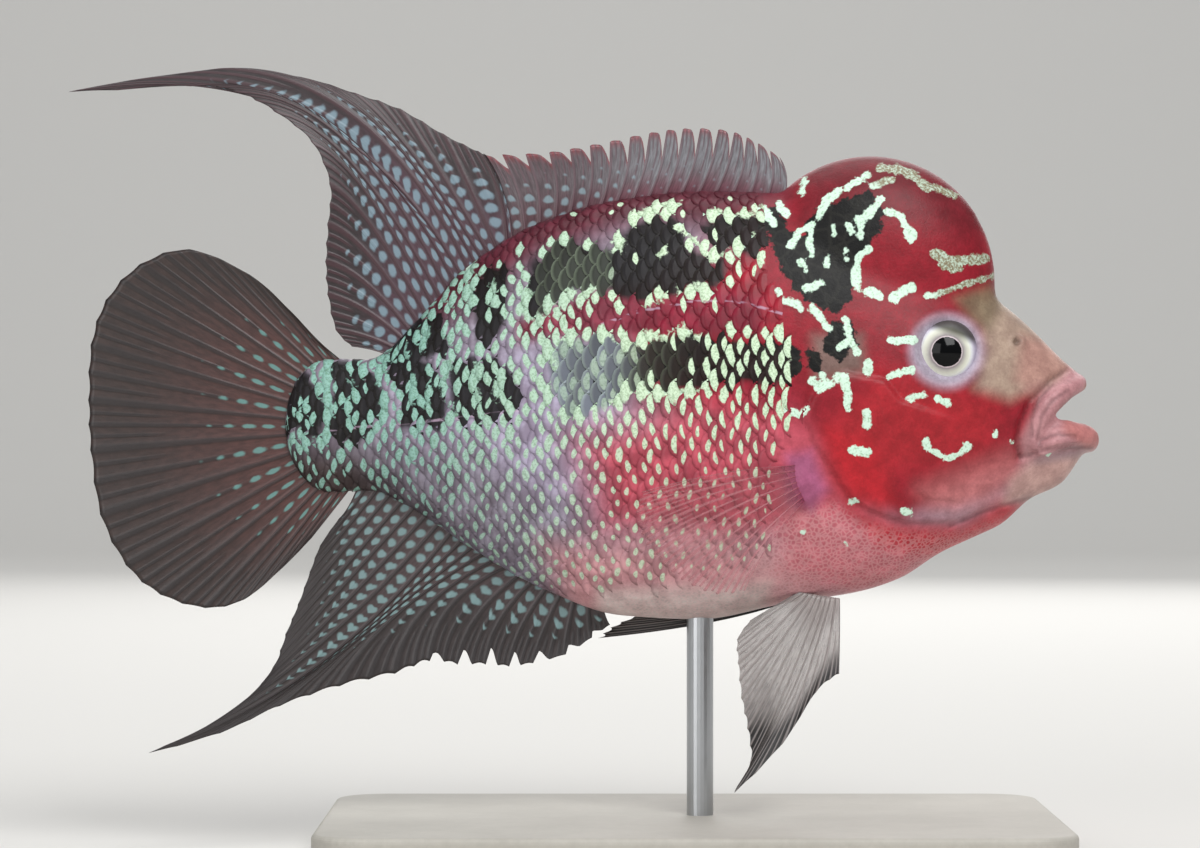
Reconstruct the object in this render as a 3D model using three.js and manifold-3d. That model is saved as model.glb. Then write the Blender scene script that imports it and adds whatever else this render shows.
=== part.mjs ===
// A flowerhorn cichlid, life size, on a plain display stand.
// Millimetres, +Z up. The fish looks along +X, its right side faces -Y, and the
// origin is on the floor under the middle of the whole model.
import * as THREE from "three";
import { mergeVertices } from "three/addons/utils/BufferGeometryUtils.js";
import Module from "manifold-3d";

const wasm = await Module();
wasm.setup();

// Driving sizes
const GAP = 0.3; // clearance between neighbouring parts
const BASE = { length: 110, width: 70, height: 6, centreX: 16, corner: 8 };
const ROD = { radius: 2, x: 17.4, seat: 3, grip: 5, sides: 24 };
const HUMP = { x: 42.9, z: 86.0, radius: 18.75, halfWidth: 10.2, power: 2.3 };
const EYE = { x: 54.4, z: 75.5, radius: 5.2, proud: 1.3 };
const NOSTRIL = { x: 65.0, z: 76.9, radius: 0.7, y: 5.2 };
const LIP = { upperRadius: 1.55, lowerRadius: 1.5, cornerY: 8.0, flat: 0.85, rings: 24, sides: 8 };
const GILL_COVER = { proud: 0.45, depth: 1.1 };
const BODY_RING = 30; // points round each section of the body
const BODY_STEP = 2.3; // spacing of the sections along the body
const FAR = 60; // reach of a cutting tool past the fish on each side

// Sections of the body from the root of the tail fin to the lips: x, height of the
// back without the hump, of the belly and of the widest line, and half the width.
const SECTIONS = [
  { x: -44.9, back: 66.4, belly: 62.2, wide: 64.4, half: 0.9 },
  { x: -43.6, back: 70.3, belly: 58.5, wide: 64.4, half: 1.9 },
  { x: -41.7, back: 73.0, belly: 55.9, wide: 64.4, half: 2.5 },
  { x: -38.7, back: 74.4, belly: 54.3, wide: 64.3, half: 3.1 },
  { x: -32.1, back: 74.3, belly: 54.6, wide: 64.2, half: 4.0 },
  { x: -25.8, back: 79.3, belly: 51.9, wide: 64.6, half: 5.8 },
  { x: -17.6, back: 88.1, belly: 46.4, wide: 65.8, half: 8.3 },
  { x: -6.6, back: 94.8, belly: 40.1, wide: 67.0, half: 10.9 },
  { x: 5.4, back: 98.2, belly: 35.9, wide: 67.4, half: 12.8 },
  { x: 17.4, back: 99.5, belly: 35.3, wide: 67.2, half: 13.9 },
  { x: 29.7, back: 99.2, belly: 37.6, wide: 66.6, half: 14.2 },
  { x: 41.4, back: 96.0, belly: 39.5, wide: 66.0, half: 14.1 },
  { x: 47.4, back: 92.6, belly: 41.5, wide: 66.5, half: 13.7 },
  { x: 53.4, back: 88.9, belly: 45.3, wide: 67.8, half: 12.7 },
  { x: 58.6, back: 85.6, belly: 47.7, wide: 68.2, half: 11.3 },
  { x: 62.4, back: 82.9, belly: 49.5, wide: 68.0, half: 10.0 },
  { x: 66.9, back: 79.0, belly: 53.4, wide: 66.8, half: 8.5 },
  { x: 71.4, back: 74.5, belly: 55.6, wide: 65.6, half: 7.0 },
  { x: 74.8, back: 71.3, belly: 60.2, wide: 65.4, half: 5.4 },
  { x: 76.6, back: 67.4, belly: 62.5, wide: 64.6, half: 3.6 },
  { x: 77.4, back: 64.4, belly: 63.5, wide: 64.0, half: 1.4 },
];

// Side outlines, each as [x, z]
const HEAD_SEAM = [
  [29.8, 104.2], [31.2, 92.2], [33.3, 80.2], [32.9, 71.2], [31.6, 65.9], [33.2, 61.9],
  [37.0, 55.6], [41.7, 50.2], [48.6, 46.4], [51.1, 41.2], [51.6, 30],
];
const TAIL_SEAM = [[-27.4, 92], [-28.8, 65.2], [-27.4, 40]];
const GILL_OUTLINE = [
  [38.9, 72.4], [34.4, 69.2], [32.9, 65.5], [34.6, 62.0], [38.1, 56.5], [42.6, 51.9],
  [48.1, 50.2], [48.4, 56.5], [47.4, 64.0], [45.6, 71.0],
];
const GAPE = [[69.9, 65.5], [76.5, 71.7], [84, 76], [84, 60.5], [77.4, 64.3], [74.8, 65.1], [72.0, 66.6]];
const JAW_ZONE = [
  [66.6, 60.3], [69.9, 65.5], [84, 68], [84, 48], [63.5, 48], [64.6, 54.0],
];

// Lips, from the corner of the mouth to its front: [x, z]
const UPPER_LIP = [[66.4, 60.8], [67.0, 63.2], [68.3, 65.6], [70.9, 68.2], [74.0, 70.0]];
const LOWER_LIP = [[66.6, 60.2], [69.0, 61.6], [71.6, 62.7], [74.2, 63.1], [75.9, 63.3]];

// Fins. Each row is one main ray: the point that it bends towards, and its tip.
const SPINY_TIPS = [
  [29.2, 104.8], [25.9, 107.0], [21.9, 108.7], [15.9, 109.1], [9.9, 108.5], [2.4, 106.9],
  [-5.8, 105.5], [-15.3, 105.2],
];
const SPINY_DORSAL = { spines: 16, front: 29.7, rear: -10.6, notch: 0.3, lean: 2.0 };
const SOFT_DORSAL = {
  front: -11.1,
  rear: -28.6,
  rays: [
    [[-11.5, 99.3], [-15.9, 105.6]],
    [[-17.9, 101.9], [-21.1, 108.2]],
    [[-22.4, 104.2], [-27.6, 112.0]],
    [[-26.1, 107.9], [-34.4, 114.4]],
    [[-28.4, 112.4], [-42.6, 116.8]],
    [[-31.4, 117.7], [-54.6, 118.1]],
    [[-36.6, 121.5], [-77.4, 114.5]],
    [[-35.9, 119.0], [-59.1, 115.3]],
    [[-35.1, 114.7], [-52.4, 114.4]],
    [[-35.1, 109.5], [-46.4, 111.4]],
    [[-33.6, 104.2], [-40.8, 106.8]],
    [[-32.9, 98.2], [-38.1, 100.5]],
    [[-32.9, 93.0], [-38.4, 94.5]],
    [[-32.9, 87.7], [-38.7, 88.9]],
    [[-32.4, 82.5], [-38.4, 84.0]],
    [[-32.1, 78.0], [-37.2, 78.7]],
    [[-31.0, 75.8], [-34.8, 76.2]],
  ],
};
const ANAL_FIN = {
  front: 2.6,
  rear: -33.5,
  rays: [
    [[3.2, 35.4], [3.9, 34.5]],
    [[0.6, 34.6], [1.2, 32.6]],
    [[-2.7, 33.4], [-2.7, 30.1]],
    [[-6.3, 33.6], [-7.6, 28.8]],
    [[-10.2, 34.4], [-11.2, 28.3]],
    [[-14.0, 35.8], [-14.7, 28.6]],
    [[-17.6, 36.6], [-18.9, 28.6]],
    [[-22.4, 38.9], [-23.1, 29.1]],
    [[-26.9, 38.2], [-28.3, 27.2]],
    [[-31.4, 35.9], [-36.6, 25.3]],
    [[-34.4, 32.2], [-45.6, 22.3]],
    [[-36.6, 28.5], [-54.6, 18.2]],
    [[-38.9, 23.6], [-65.4, 15.2]],
    [[-38.9, 29.2], [-58.0, 18.5]],
    [[-38.9, 33.7], [-50.9, 23.2]],
    [[-38.1, 38.2], [-46.8, 28.0]],
    [[-37.4, 41.2], [-44.9, 33.0]],
    [[-37.2, 44.2], [-43.0, 37.5]],
    [[-36.8, 47.2], [-41.2, 42.4]],
    [[-36.0, 49.5], [-39.6, 46.4]],
    [[-35.0, 52.0], [-36.8, 50.4]],
  ],
};
const CAUDAL_TIPS = [
  [-39.9, 77.1], [-44.1, 81.7], [-50.1, 87.0], [-59.1, 90.8], [-66.6, 88.6], [-71.8, 83.2],
  [-74.1, 76.5], [-74.5, 68.2], [-74.2, 60.7], [-72.7, 51.0], [-68.8, 43.4], [-63.6, 39.0],
  [-56.8, 37.0], [-50.9, 38.3], [-45.1, 43.1], [-40.8, 47.5],
];
const CAUDAL_ROOT = { x: -34.5, top: 72.6, bottom: 55.6, bow: 2.5 };
const PELVIC_RIGHT = {
  front: [38.1, 38.6],
  rear: [32.1, 39.6],
  rays: [
    [[38.1, 32.9], [37.8, 27.6]],
    [[36.6, 30.7], [34.4, 24.9]],
    [[33.2, 26.2], [29.4, 17.2]],
    [[31.7, 23.2], [22.3, 10.0]],
    [[30.2, 24.7], [24.6, 14.4]],
    [[29.1, 27.7], [24.2, 19.5]],
    [[28.2, 30.7], [23.3, 24.0]],
    [[27.9, 33.4], [22.8, 29.2]],
    [[27.6, 36.4], [22.7, 32.7]],
    [[28.7, 37.9], [24.6, 35.5]],
  ],
};
const PELVIC_LEFT = {
  front: [32.4, 38.4],
  rear: [28.2, 38.4],
  rays: [
    [[22.4, 34.2], [2.1, 32.2]],
    [[21.5, 35.4], [4.0, 33.8]],
    [[21.0, 36.6], [7.5, 35.4]],
    [[21.0, 37.6], [12.5, 36.8]],
  ],
};
const PECTORAL = {
  front: [32.0, 58.6],
  rear: [32.6, 53.4],
  rays: [
    [[20.0, 58.2], [8.4, 54.7]],
    [[19.6, 56.4], [7.6, 51.8]],
    [[19.6, 54.6], [8.4, 48.6]],
    [[20.6, 52.8], [10.2, 45.6]],
    [[21.6, 51.0], [12.8, 43.0]],
    [[22.9, 49.4], [15.8, 41.0]],
    [[24.4, 48.2], [19.4, 39.8]],
    [[26.4, 47.4], [23.4, 40.2]],
  ],
};
const FIN = { root: 1.0, edge: 0.5, ridge: 0.26, perRay: 2, rows: 5 };

// Finishes: colour, roughness, metalness
const FINISH = {
  head: ["#b4483e", 0.45, 0],
  hump: ["#c23a34", 0.4, 0],
  jaw: ["#b08c80", 0.5, 0],
  gill: ["#a9524a", 0.45, 0],
  eye: ["#1a1512", 0.12, 0],
  trunk: ["#a8756a", 0.45, 0],
  tail: ["#7d6358", 0.5, 0],
  fin: ["#5a3430", 0.5, 0],
  clearFin: ["#a89c92", 0.5, 0],
  base: ["#c9c6bf", 0.7, 0],
  rod: ["#b8babd", 0.3, 1],
};

/** Smooth value of one column of the section table at x. */
function columnAt(key, x) {
  const last = SECTIONS.length - 1;
  let i = SECTIONS.findIndex((s) => s.x > x) - 1;
  if (i === -2) i = last - 1;
  i = Math.min(Math.max(i, 0), last - 1);
  const slope = (k) => {
    if (k <= 0 || k >= last) return (SECTIONS[Math.min(k + 1, last)][key] - SECTIONS[Math.max(k - 1, 0)][key])
      / (SECTIONS[Math.min(k + 1, last)].x - SECTIONS[Math.max(k - 1, 0)].x);
    const before = (SECTIONS[k][key] - SECTIONS[k - 1][key]) / (SECTIONS[k].x - SECTIONS[k - 1].x);
    const after = (SECTIONS[k + 1][key] - SECTIONS[k][key]) / (SECTIONS[k + 1].x - SECTIONS[k].x);
    return before * after <= 0 ? 0 : (2 * before * after) / (before + after);
  };
  const [a, b] = [SECTIONS[i], SECTIONS[i + 1]];
  const run = b.x - a.x;
  const t = Math.min(Math.max((x - a.x) / run, 0), 1);
  const [t2, t3] = [t * t, t * t * t];
  return (2 * t3 - 3 * t2 + 1) * a[key] + (t3 - 2 * t2 + t) * run * slope(i)
    + (3 * t2 - 2 * t3) * b[key] + (t3 - t2) * run * slope(i + 1);
}

/** Half the body's width at a point of its side view. */
function halfWidthAt(x, z) {
  const wide = columnAt("wide", x);
  const edge = z > wide ? columnAt("back", x) : columnAt("belly", x);
  const k = Math.min(Math.abs((z - wide) / (edge - wide)), 1);
  return columnAt("half", x) * Math.sqrt(1 - k * k);
}

/** Turns a closed geometry into a solid. */
function solid(geometry) {
  const bare = geometry.clone();
  bare.deleteAttribute("normal");
  bare.deleteAttribute("uv");
  const merged = mergeVertices(bare, 1e-4);
  return new wasm.Manifold(new wasm.Mesh({
    numProp: 3,
    vertProperties: new Float32Array(merged.attributes.position.array),
    triVerts: new Uint32Array(merged.index.array),
  }));
}

/** Solid from points and triangles that are wound alike, with its faces turned out. */
function solidFrom(points, triangles) {
  const geometry = new THREE.BufferGeometry();
  geometry.setAttribute("position", new THREE.Float32BufferAttribute(points.flat(), 3));
  geometry.setIndex(triangles.flat());
  const shape = solid(geometry);
  if (shape.volume() > 0) return shape;
  geometry.setIndex(triangles.map(([a, b, c]) => [a, c, b]).flat());
  return solid(geometry);
}

/** Closed skin over rings of points of equal count, with a point at each end. */
function skinOver(rings, start, end) {
  const count = rings[0].length;
  const points = [start, ...rings.flat(), end];
  const triangles = [];
  const at = (ring, k) => 1 + ring * count + (k % count);
  for (let k = 0; k < count; k++) {
    triangles.push([0, at(0, k + 1), at(0, k)]);
    triangles.push([points.length - 1, at(rings.length - 1, k), at(rings.length - 1, k + 1)]);
    for (let r = 0; r < rings.length - 1; r++) {
      triangles.push([at(r, k), at(r, k + 1), at(r + 1, k + 1)]);
      triangles.push([at(r, k), at(r + 1, k + 1), at(r + 1, k)]);
    }
  }
  return solidFrom(points, triangles);
}

/** The whole body without hump and fins, grown by some millimetres all round. */
function bodySolid(grow) {
  const first = SECTIONS[0].x;
  const last = SECTIONS[SECTIONS.length - 1].x;
  const steps = Math.round((last - first) / BODY_STEP);
  const rings = [];
  for (let s = 0; s <= steps; s++) {
    const even = s / steps;
    const eased = even + Math.sin(2 * Math.PI * even) * -0.07;
    const x = first + (last - first) * eased;
    const wide = columnAt("wide", x);
    const ring = [];
    for (let k = 0; k < BODY_RING; k++) {
      const turn = (2 * Math.PI * k) / BODY_RING;
      const reach = Math.sin(turn) >= 0
        ? columnAt("back", x) + grow - wide : wide - columnAt("belly", x) + grow;
      ring.push([x, (columnAt("half", x) + grow) * Math.cos(turn), wide + reach * Math.sin(turn)]);
    }
    rings.push(ring);
  }
  const [a, b] = [SECTIONS[0], SECTIONS[SECTIONS.length - 1]];
  return skinOver(rings, [a.x - 0.3 - grow, 0, a.wide], [b.x + 0.2 + grow, 0, b.wide]);
}

/** The hump of the forehead, a round disc in side view with full sides. */
function humpSolid(grow) {
  const geometry = new THREE.SphereGeometry(1, 30, 18);
  const position = geometry.attributes.position;
  for (let i = 0; i < position.count; i++) {
    const [x, y, z] = [position.getX(i), position.getY(i), position.getZ(i)];
    const flat = Math.hypot(x, z);
    const fuller = Math.pow(Math.pow(flat, HUMP.power) + Math.pow(Math.abs(y), HUMP.power), -1 / HUMP.power);
    position.setXYZ(i,
      HUMP.x + x * fuller * (HUMP.radius + grow),
      y * fuller * (HUMP.halfWidth + grow),
      HUMP.z + z * fuller * (HUMP.radius + grow));
  }
  return solid(geometry);
}

/** A ball at a point. */
function ball(radius, [x, y, z], around = 18, down = 12) {
  return solid(new THREE.SphereGeometry(radius, around, down).translate(x, y, z));
}

/** An outline of the side view carried across the fish from one y to another. */
function sidePrism(outline, yFrom, yTo) {
  const shape = new THREE.Shape(outline.map(([x, z]) => new THREE.Vector2(x, z)));
  const geometry = new THREE.ExtrudeGeometry(shape, { depth: yTo - yFrom, bevelEnabled: false });
  return solid(geometry.rotateX(Math.PI / 2).translate(0, yTo, 0));
}

/** Points of a smooth curve through side view points. */
function smoothLine(points, count, closed = false) {
  const curve = new THREE.CatmullRomCurve3(points.map(([x, z]) => new THREE.Vector3(x, 0, z)), closed);
  return curve.getPoints(count).map((p) => [p.x, p.z]);
}

/** A thin wall that parts the body along a line of the side view. */
function seam(points, count) {
  const line = smoothLine(points, count);
  const side = (sign) => line.map(([x, z], i) => {
    const [ax, az] = line[Math.max(i - 1, 0)];
    const [bx, bz] = line[Math.min(i + 1, line.length - 1)];
    const run = Math.hypot(bx - ax, bz - az);
    return [x + (sign * GAP / 2) * (bz - az) / run, z - (sign * GAP / 2) * (bx - ax) / run];
  });
  return sidePrism([...side(1), ...side(-1).reverse()], -FAR, FAR);
}

/** An outline grown or shrunk about its own middle line by an offset. */
function offsetOutline(outline, offset) {
  const count = outline.length;
  return outline.map(([x, z], i) => {
    const [ax, az] = outline[(i + count - 1) % count];
    const [bx, bz] = outline[(i + 1) % count];
    const run = Math.hypot(bx - ax, bz - az);
    return [x + (offset * (bz - az)) / run, z - (offset * (bx - ax)) / run];
  });
}

/** A tube with round ends along the edge of the mouth, alike on both sides. */
function lipSolid(path, radius, grow) {
  const [rear, front] = [path[0][0], path[path.length - 1][0]];
  const sideLine = new THREE.CatmullRomCurve3(path.map(([x, z]) => new THREE.Vector3(x, 0, z)));
  const halfSteps = 8;
  const points = [];
  for (let i = -halfSteps; i <= halfSteps; i++) {
    const turn = (Math.PI / 2) * (i / halfSteps);
    const point = sideLine.getPoint(Math.cos(turn));
    const ahead = Math.min((point.x - rear) / (front - rear), 1);
    point.y = Math.sign(i) * LIP.cornerY * Math.sqrt(1 - ahead * ahead);
    points.push(point);
  }
  const curve = new THREE.CatmullRomCurve3(points);
  const rings = [];
  for (let i = 0; i <= LIP.rings; i++) {
    const t = i / LIP.rings;
    const centre = curve.getPoint(t);
    const tangent = curve.getTangent(t);
    const out = new THREE.Vector3(0, 0, 1).cross(tangent).normalize();
    const up = tangent.clone().cross(out).normalize();
    const full = Math.min(1, Math.sin(Math.PI * Math.min(Math.max(t, 0.02), 0.98)) * 2.2);
    const r = radius * (0.45 + 0.55 * full) + grow;
    const ring = [];
    for (let k = 0; k < LIP.sides; k++) {
      const turn = (2 * Math.PI * k) / LIP.sides;
      ring.push(centre.clone().addScaledVector(out, r * Math.cos(turn) * LIP.flat)
        .addScaledVector(up, r * Math.sin(turn)).toArray());
    }
    rings.push(ring);
  }
  return skinOver(rings, curve.getPoint(0).toArray(), curve.getPoint(1).toArray());
}

/** Point at u of a list of points, smooth, where whole numbers are the points. */
function along(points, u) {
  const last = points.length - 1;
  const i = Math.min(Math.floor(u), last - 1);
  const t = u - i;
  const p = (k) => points[Math.min(Math.max(k, 0), last)];
  return [0, 1].map((axis) => {
    const [a, b, c, d] = [p(i - 1)[axis], p(i)[axis], p(i + 1)[axis], p(i + 2)[axis]];
    return 0.5 * (2 * b + (c - a) * t + (2 * a - 5 * b + 4 * c - d) * t * t + (3 * b - a - 3 * c + d) * t * t * t);
  });
}

/**
 * A fin as a thin closed sheet whose rays stand up as ridges on both faces.
 * root, bend and tip give [x, z] at u, sway gives y at (u, v), and reach the
 * share of the way to the tip that the membrane takes at u.
 */
function finSheet({ span, root, bend, tip, sway, reach = () => 1, perRay = FIN.perRay, rows = FIN.rows }) {
  const columns = span * perRay;
  const faces = [[], []];
  for (let c = 0; c <= columns; c++) {
    const u = c / perRay;
    const [a, b, d] = [root(u), bend(u), tip(u)];
    const onRay = c % perRay === 0 ? 1 : 0;
    for (let r = 0; r <= rows; r++) {
      const v = (r / rows) * reach(u);
      const [p, q, s] = [(1 - v) * (1 - v), 2 * v * (1 - v), v * v];
      const x = p * a[0] + q * b[0] + s * d[0];
      const z = p * a[1] + q * b[1] + s * d[1];
      const thick = FIN.root + (FIN.edge - FIN.root) * v + 2 * FIN.ridge * onRay * (1 - 0.8 * v);
      const y = sway(u, v, x, z);
      faces[0].push([x, y - thick / 2, z]);
      faces[1].push([x, y + thick / 2, z]);
    }
  }
  const count = faces[0].length;
  const near = (c, r) => c * (rows + 1) + r;
  const far = (c, r) => count + near(c, r);
  const triangles = [];
  const quad = (a, b, c, d) => triangles.push([a, b, c], [a, c, d]);
  for (let c = 0; c < columns; c++) {
    for (let r = 0; r < rows; r++) {
      quad(near(c, r), near(c, r + 1), near(c + 1, r + 1), near(c + 1, r));
      triangles.push([far(c, r), far(c + 1, r + 1), far(c, r + 1)], [far(c, r), far(c + 1, r), far(c + 1, r + 1)]);
    }
    quad(near(c, 0), near(c + 1, 0), far(c + 1, 0), far(c, 0));
    quad(near(c, rows), far(c, rows), far(c + 1, rows), near(c + 1, rows));
  }
  for (let r = 0; r < rows; r++) {
    quad(near(0, r), far(0, r), far(0, r + 1), near(0, r + 1));
    quad(near(columns, r), near(columns, r + 1), far(columns, r + 1), far(columns, r));
  }
  return solidFrom([...faces[0], ...faces[1]], triangles);
}

/** Straight root line between two points for a fin of some rays. */
const rootLine = (front, rear, span) => (u) => {
  const t = u / span;
  return [front[0] + (rear[0] - front[0]) * t, front[1] + (rear[1] - front[1]) * t];
};

/** Largest closed piece of a solid. */
function largest(shape) {
  return shape.decompose().sort((a, b) => b.volume() - a.volume())[0];
}

/** The flesh of the body and what it is parted into. */
function bodyParts() {
  const cut = bodySolid(0).subtract(seam(HEAD_SEAM, 24)).subtract(seam(TAIL_SEAM, 6));
  const pieces = cut.decompose().sort((a, b) => b.volume() - a.volume()).slice(0, 3);
  const middle = (shape) => (shape.boundingBox().min[0] + shape.boundingBox().max[0]) / 2;
  const [tail, trunk, head] = pieces.sort((a, b) => middle(a) - middle(b));
  return { tail, trunk, head };
}

/** Eyeball centre on one side, -1 for right and 1 for left. */
function eyeCentre(side) {
  return [EYE.x, side * (halfWidthAt(EYE.x, EYE.z) + EYE.proud - EYE.radius), EYE.z];
}

/** Gill cover on one side, a plate that stands a little proud. */
function gillCover(side) {
  const outline = smoothLine(GILL_OUTLINE, 28, true).slice(0, -1);
  const wall = side < 0 ? [-FAR, -4] : [4, FAR];
  return sidePrism(outline, ...wall).intersect(bodySolid(GILL_COVER.proud))
    .subtract(bodySolid(-GILL_COVER.depth));
}

/** Space left free in the head for a gill cover. */
function gillRoom(side) {
  const outline = offsetOutline(smoothLine(GILL_OUTLINE, 28, true).slice(0, -1), GAP);
  const wall = side < 0 ? [-FAR, -3] : [3, FAR];
  return sidePrism(outline, ...wall).subtract(bodySolid(-GILL_COVER.depth - GAP));
}

const nodes = new THREE.Group();

/** Adds the largest closed piece of a solid as a named mesh. */
function addNode(name, shape, [colour, roughness, metalness]) {
  const mesh = largest(shape).getMesh();
  const geometry = new THREE.BufferGeometry();
  geometry.setAttribute("position", new THREE.Float32BufferAttribute(mesh.vertProperties, 3));
  geometry.setIndex(Array.from(mesh.triVerts));
  const material = new THREE.MeshStandardMaterial({ color: colour, roughness, metalness });
  const node = new THREE.Mesh(geometry, material);
  node.name = name;
  nodes.add(node);
}

const body = bodyParts();
const bodyRoom = bodySolid(GAP);
const humpRoom = humpSolid(GAP);
const upperLip = lipSolid(UPPER_LIP, LIP.upperRadius, 0);
const upperLipRoom = lipSolid(UPPER_LIP, LIP.upperRadius, GAP);
const lowerLip = lipSolid(LOWER_LIP, LIP.lowerRadius, 0);
const lowerLipRoom = lipSolid(LOWER_LIP, LIP.lowerRadius, GAP);
const gape = sidePrism(GAPE, -FAR, FAR);
const jawZone = sidePrism(JAW_ZONE, -FAR, FAR);
const jawRoom = sidePrism(offsetOutline([...JAW_ZONE].reverse(), GAP), -FAR, FAR);

// Head with its hump, eyes, gill covers and jaws
let head = body.head.subtract(gape).subtract(upperLipRoom).subtract(lowerLipRoom).subtract(jawRoom);
for (const side of [-1, 1]) {
  const name = side < 0 ? "right" : "left";
  head = head.subtract(ball(EYE.radius + GAP, eyeCentre(side)));
  head = head.subtract(gillRoom(side));
  head = head.subtract(ball(NOSTRIL.radius, [NOSTRIL.x, side * halfWidthAt(NOSTRIL.x, NOSTRIL.z), NOSTRIL.z], 12, 8));
  addNode(`eye_${name}`, ball(EYE.radius, eyeCentre(side)), FINISH.eye);
  addNode(`gill_cover_${name}`, gillCover(side), FINISH.gill);
}
addNode("head", head, FINISH.head);
addNode("nuchal_hump", humpSolid(0).subtract(bodyRoom), FINISH.hump);
addNode("upper_jaw", upperLip, FINISH.jaw);
addNode("lower_jaw", body.head.intersect(jawZone).add(lowerLip).subtract(gape).subtract(upperLipRoom), FINISH.jaw);

// Trunk and tail, with the seat of the rod in the belly
const bellyZ = columnAt("belly", ROD.x);
const rodTop = bellyZ + ROD.grip;
const rod = (radius, bottom, top) => solid(
  new THREE.CylinderGeometry(radius, radius, top - bottom, ROD.sides).rotateX(Math.PI / 2)
    .translate(ROD.x, 0, (top + bottom) / 2));
addNode("trunk", body.trunk.subtract(rod(ROD.radius + GAP, 0, rodTop + GAP)), FINISH.trunk);
addNode("tail_stalk", body.tail, FINISH.tail);

// Fins of the middle line
const onBack = (x) => [x, columnAt("back", x) - 2];
const onBelly = (x) => [x, columnAt("belly", x) + 2];
const midFin = (shape) => shape.subtract(bodyRoom).subtract(humpRoom);
const spines = SPINY_DORSAL.spines - 1;
const spinyTip = (u) => along(SPINY_TIPS, (u / spines) * (SPINY_TIPS.length - 1));
const spinyRoot = (u) => onBack(SPINY_DORSAL.front + (SPINY_DORSAL.rear - SPINY_DORSAL.front) * (u / spines));
const lobe = (u) => {
  const share = u - Math.floor(u + 1e-6);
  return 1 - SPINY_DORSAL.notch * Math.pow(Math.max(share, 0), 0.8);
};
addNode("dorsal_fin_spiny", midFin(finSheet({
  span: spines,
  root: spinyRoot,
  bend: (u) => {
    const [a, b] = [spinyRoot(u), spinyTip(u)];
    return [(a[0] + b[0]) / 2 + SPINY_DORSAL.lean, (a[1] + b[1]) / 2 + 1];
  },
  tip: spinyTip,
  sway: (u, v) => 0.5 * v * Math.sin(u * 0.8),
  reach: lobe,
})), FINISH.fin);

const rayFin = (fin, rootAt, sway) => {
  const span = fin.rays.length - 1;
  return finSheet({
    span,
    root: (u) => rootAt(fin.front + (fin.rear - fin.front) * (u / span)),
    bend: (u) => along(fin.rays.map((ray) => ray[0]), u),
    tip: (u) => along(fin.rays.map((ray) => ray[1]), u),
    sway,
  });
};
addNode("dorsal_fin_soft", midFin(rayFin(SOFT_DORSAL, onBack, (u, v) => 1.6 * v * v * Math.sin(u * 0.35))), FINISH.fin);

const caudalSpan = CAUDAL_TIPS.length - 1;
const caudalRoot = (u) => {
  const t = u / caudalSpan;
  return [CAUDAL_ROOT.x - CAUDAL_ROOT.bow * Math.sin(Math.PI * t),
    CAUDAL_ROOT.top + (CAUDAL_ROOT.bottom - CAUDAL_ROOT.top) * t];
};
const caudalSheet = finSheet({
  span: caudalSpan,
  root: caudalRoot,
  bend: (u) => {
    const [a, b] = [caudalRoot(u), along(CAUDAL_TIPS, u)];
    return [(a[0] + b[0]) / 2, (a[1] + b[1]) / 2];
  },
  tip: (u) => along(CAUDAL_TIPS, u),
  sway: (u, v) => -1.2 * v * v * Math.cos(u * 0.4),
});
addNode("caudal_fin", midFin(caudalSheet), FINISH.fin);
const caudalOutline = [...CAUDAL_TIPS, [CAUDAL_ROOT.x, CAUDAL_ROOT.bottom], [CAUDAL_ROOT.x, CAUDAL_ROOT.top]];
const caudalRoom = sidePrism(offsetOutline(caudalOutline.slice().reverse(), 2 * GAP), -FAR, FAR);
addNode("anal_fin", midFin(rayFin(ANAL_FIN, onBelly, (u, v) => -1.4 * v * v * Math.sin(u * 0.3))).subtract(caudalRoom), FINISH.fin);

// Paired fins
const pairedFin = (fin, sway) => {
  const span = fin.rays.length - 1;
  return finSheet({
    span,
    root: rootLine(fin.front, fin.rear, span),
    bend: (u) => along(fin.rays.map((ray) => ray[0]), u),
    tip: (u) => along(fin.rays.map((ray) => ray[1]), u),
    sway,
    rows: 5,
  });
};
for (const side of [-1, 1]) {
  const name = side < 0 ? "right" : "left";
  const spread = (u, v) => side * (12.2 + 5.2 * Math.sqrt(v) + 0.5 * v);
  addNode(`pectoral_fin_${name}`, pairedFin(PECTORAL, spread).subtract(bodyRoom), FINISH.clearFin);
}
addNode("pelvic_fin_right", pairedFin(PELVIC_RIGHT, (u, v) => -4.2 - 3.5 * v).subtract(bodyRoom), FINISH.fin);
addNode("pelvic_fin_left", pairedFin(PELVIC_LEFT, (u, v) => 4.2 + 1.2 * v).subtract(bodyRoom), FINISH.fin);

// Display stand
const plate = new THREE.Shape();
const [hx, hy, rc] = [BASE.length / 2, BASE.width / 2, BASE.corner];
plate.absarc(hx - rc, hy - rc, rc, 0, Math.PI / 2);
plate.absarc(-hx + rc, hy - rc, rc, Math.PI / 2, Math.PI);
plate.absarc(-hx + rc, -hy + rc, rc, Math.PI, 1.5 * Math.PI);
plate.absarc(hx - rc, -hy + rc, rc, 1.5 * Math.PI, 2 * Math.PI);
const plateSolid = solid(new THREE.ExtrudeGeometry(plate, { depth: BASE.height, bevelEnabled: false, curveSegments: 5 })
  .translate(BASE.centreX, 0, 0));
const seatZ = BASE.height - ROD.seat;
addNode("stand_base", plateSolid.subtract(rod(ROD.radius + GAP, seatZ - GAP, BASE.height + 1)), FINISH.base);
addNode("stand_rod", rod(ROD.radius, seatZ, rodTop), FINISH.rod);

export default nodes;
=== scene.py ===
"""The looks of a life-size flowerhorn cichlid on a plain display stand."""

from __future__ import annotations

import logging
import math
from abc import ABC, abstractmethod
from dataclasses import dataclass, field
from enum import Enum
from typing import Callable, ClassVar, Iterator, Sequence

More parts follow.
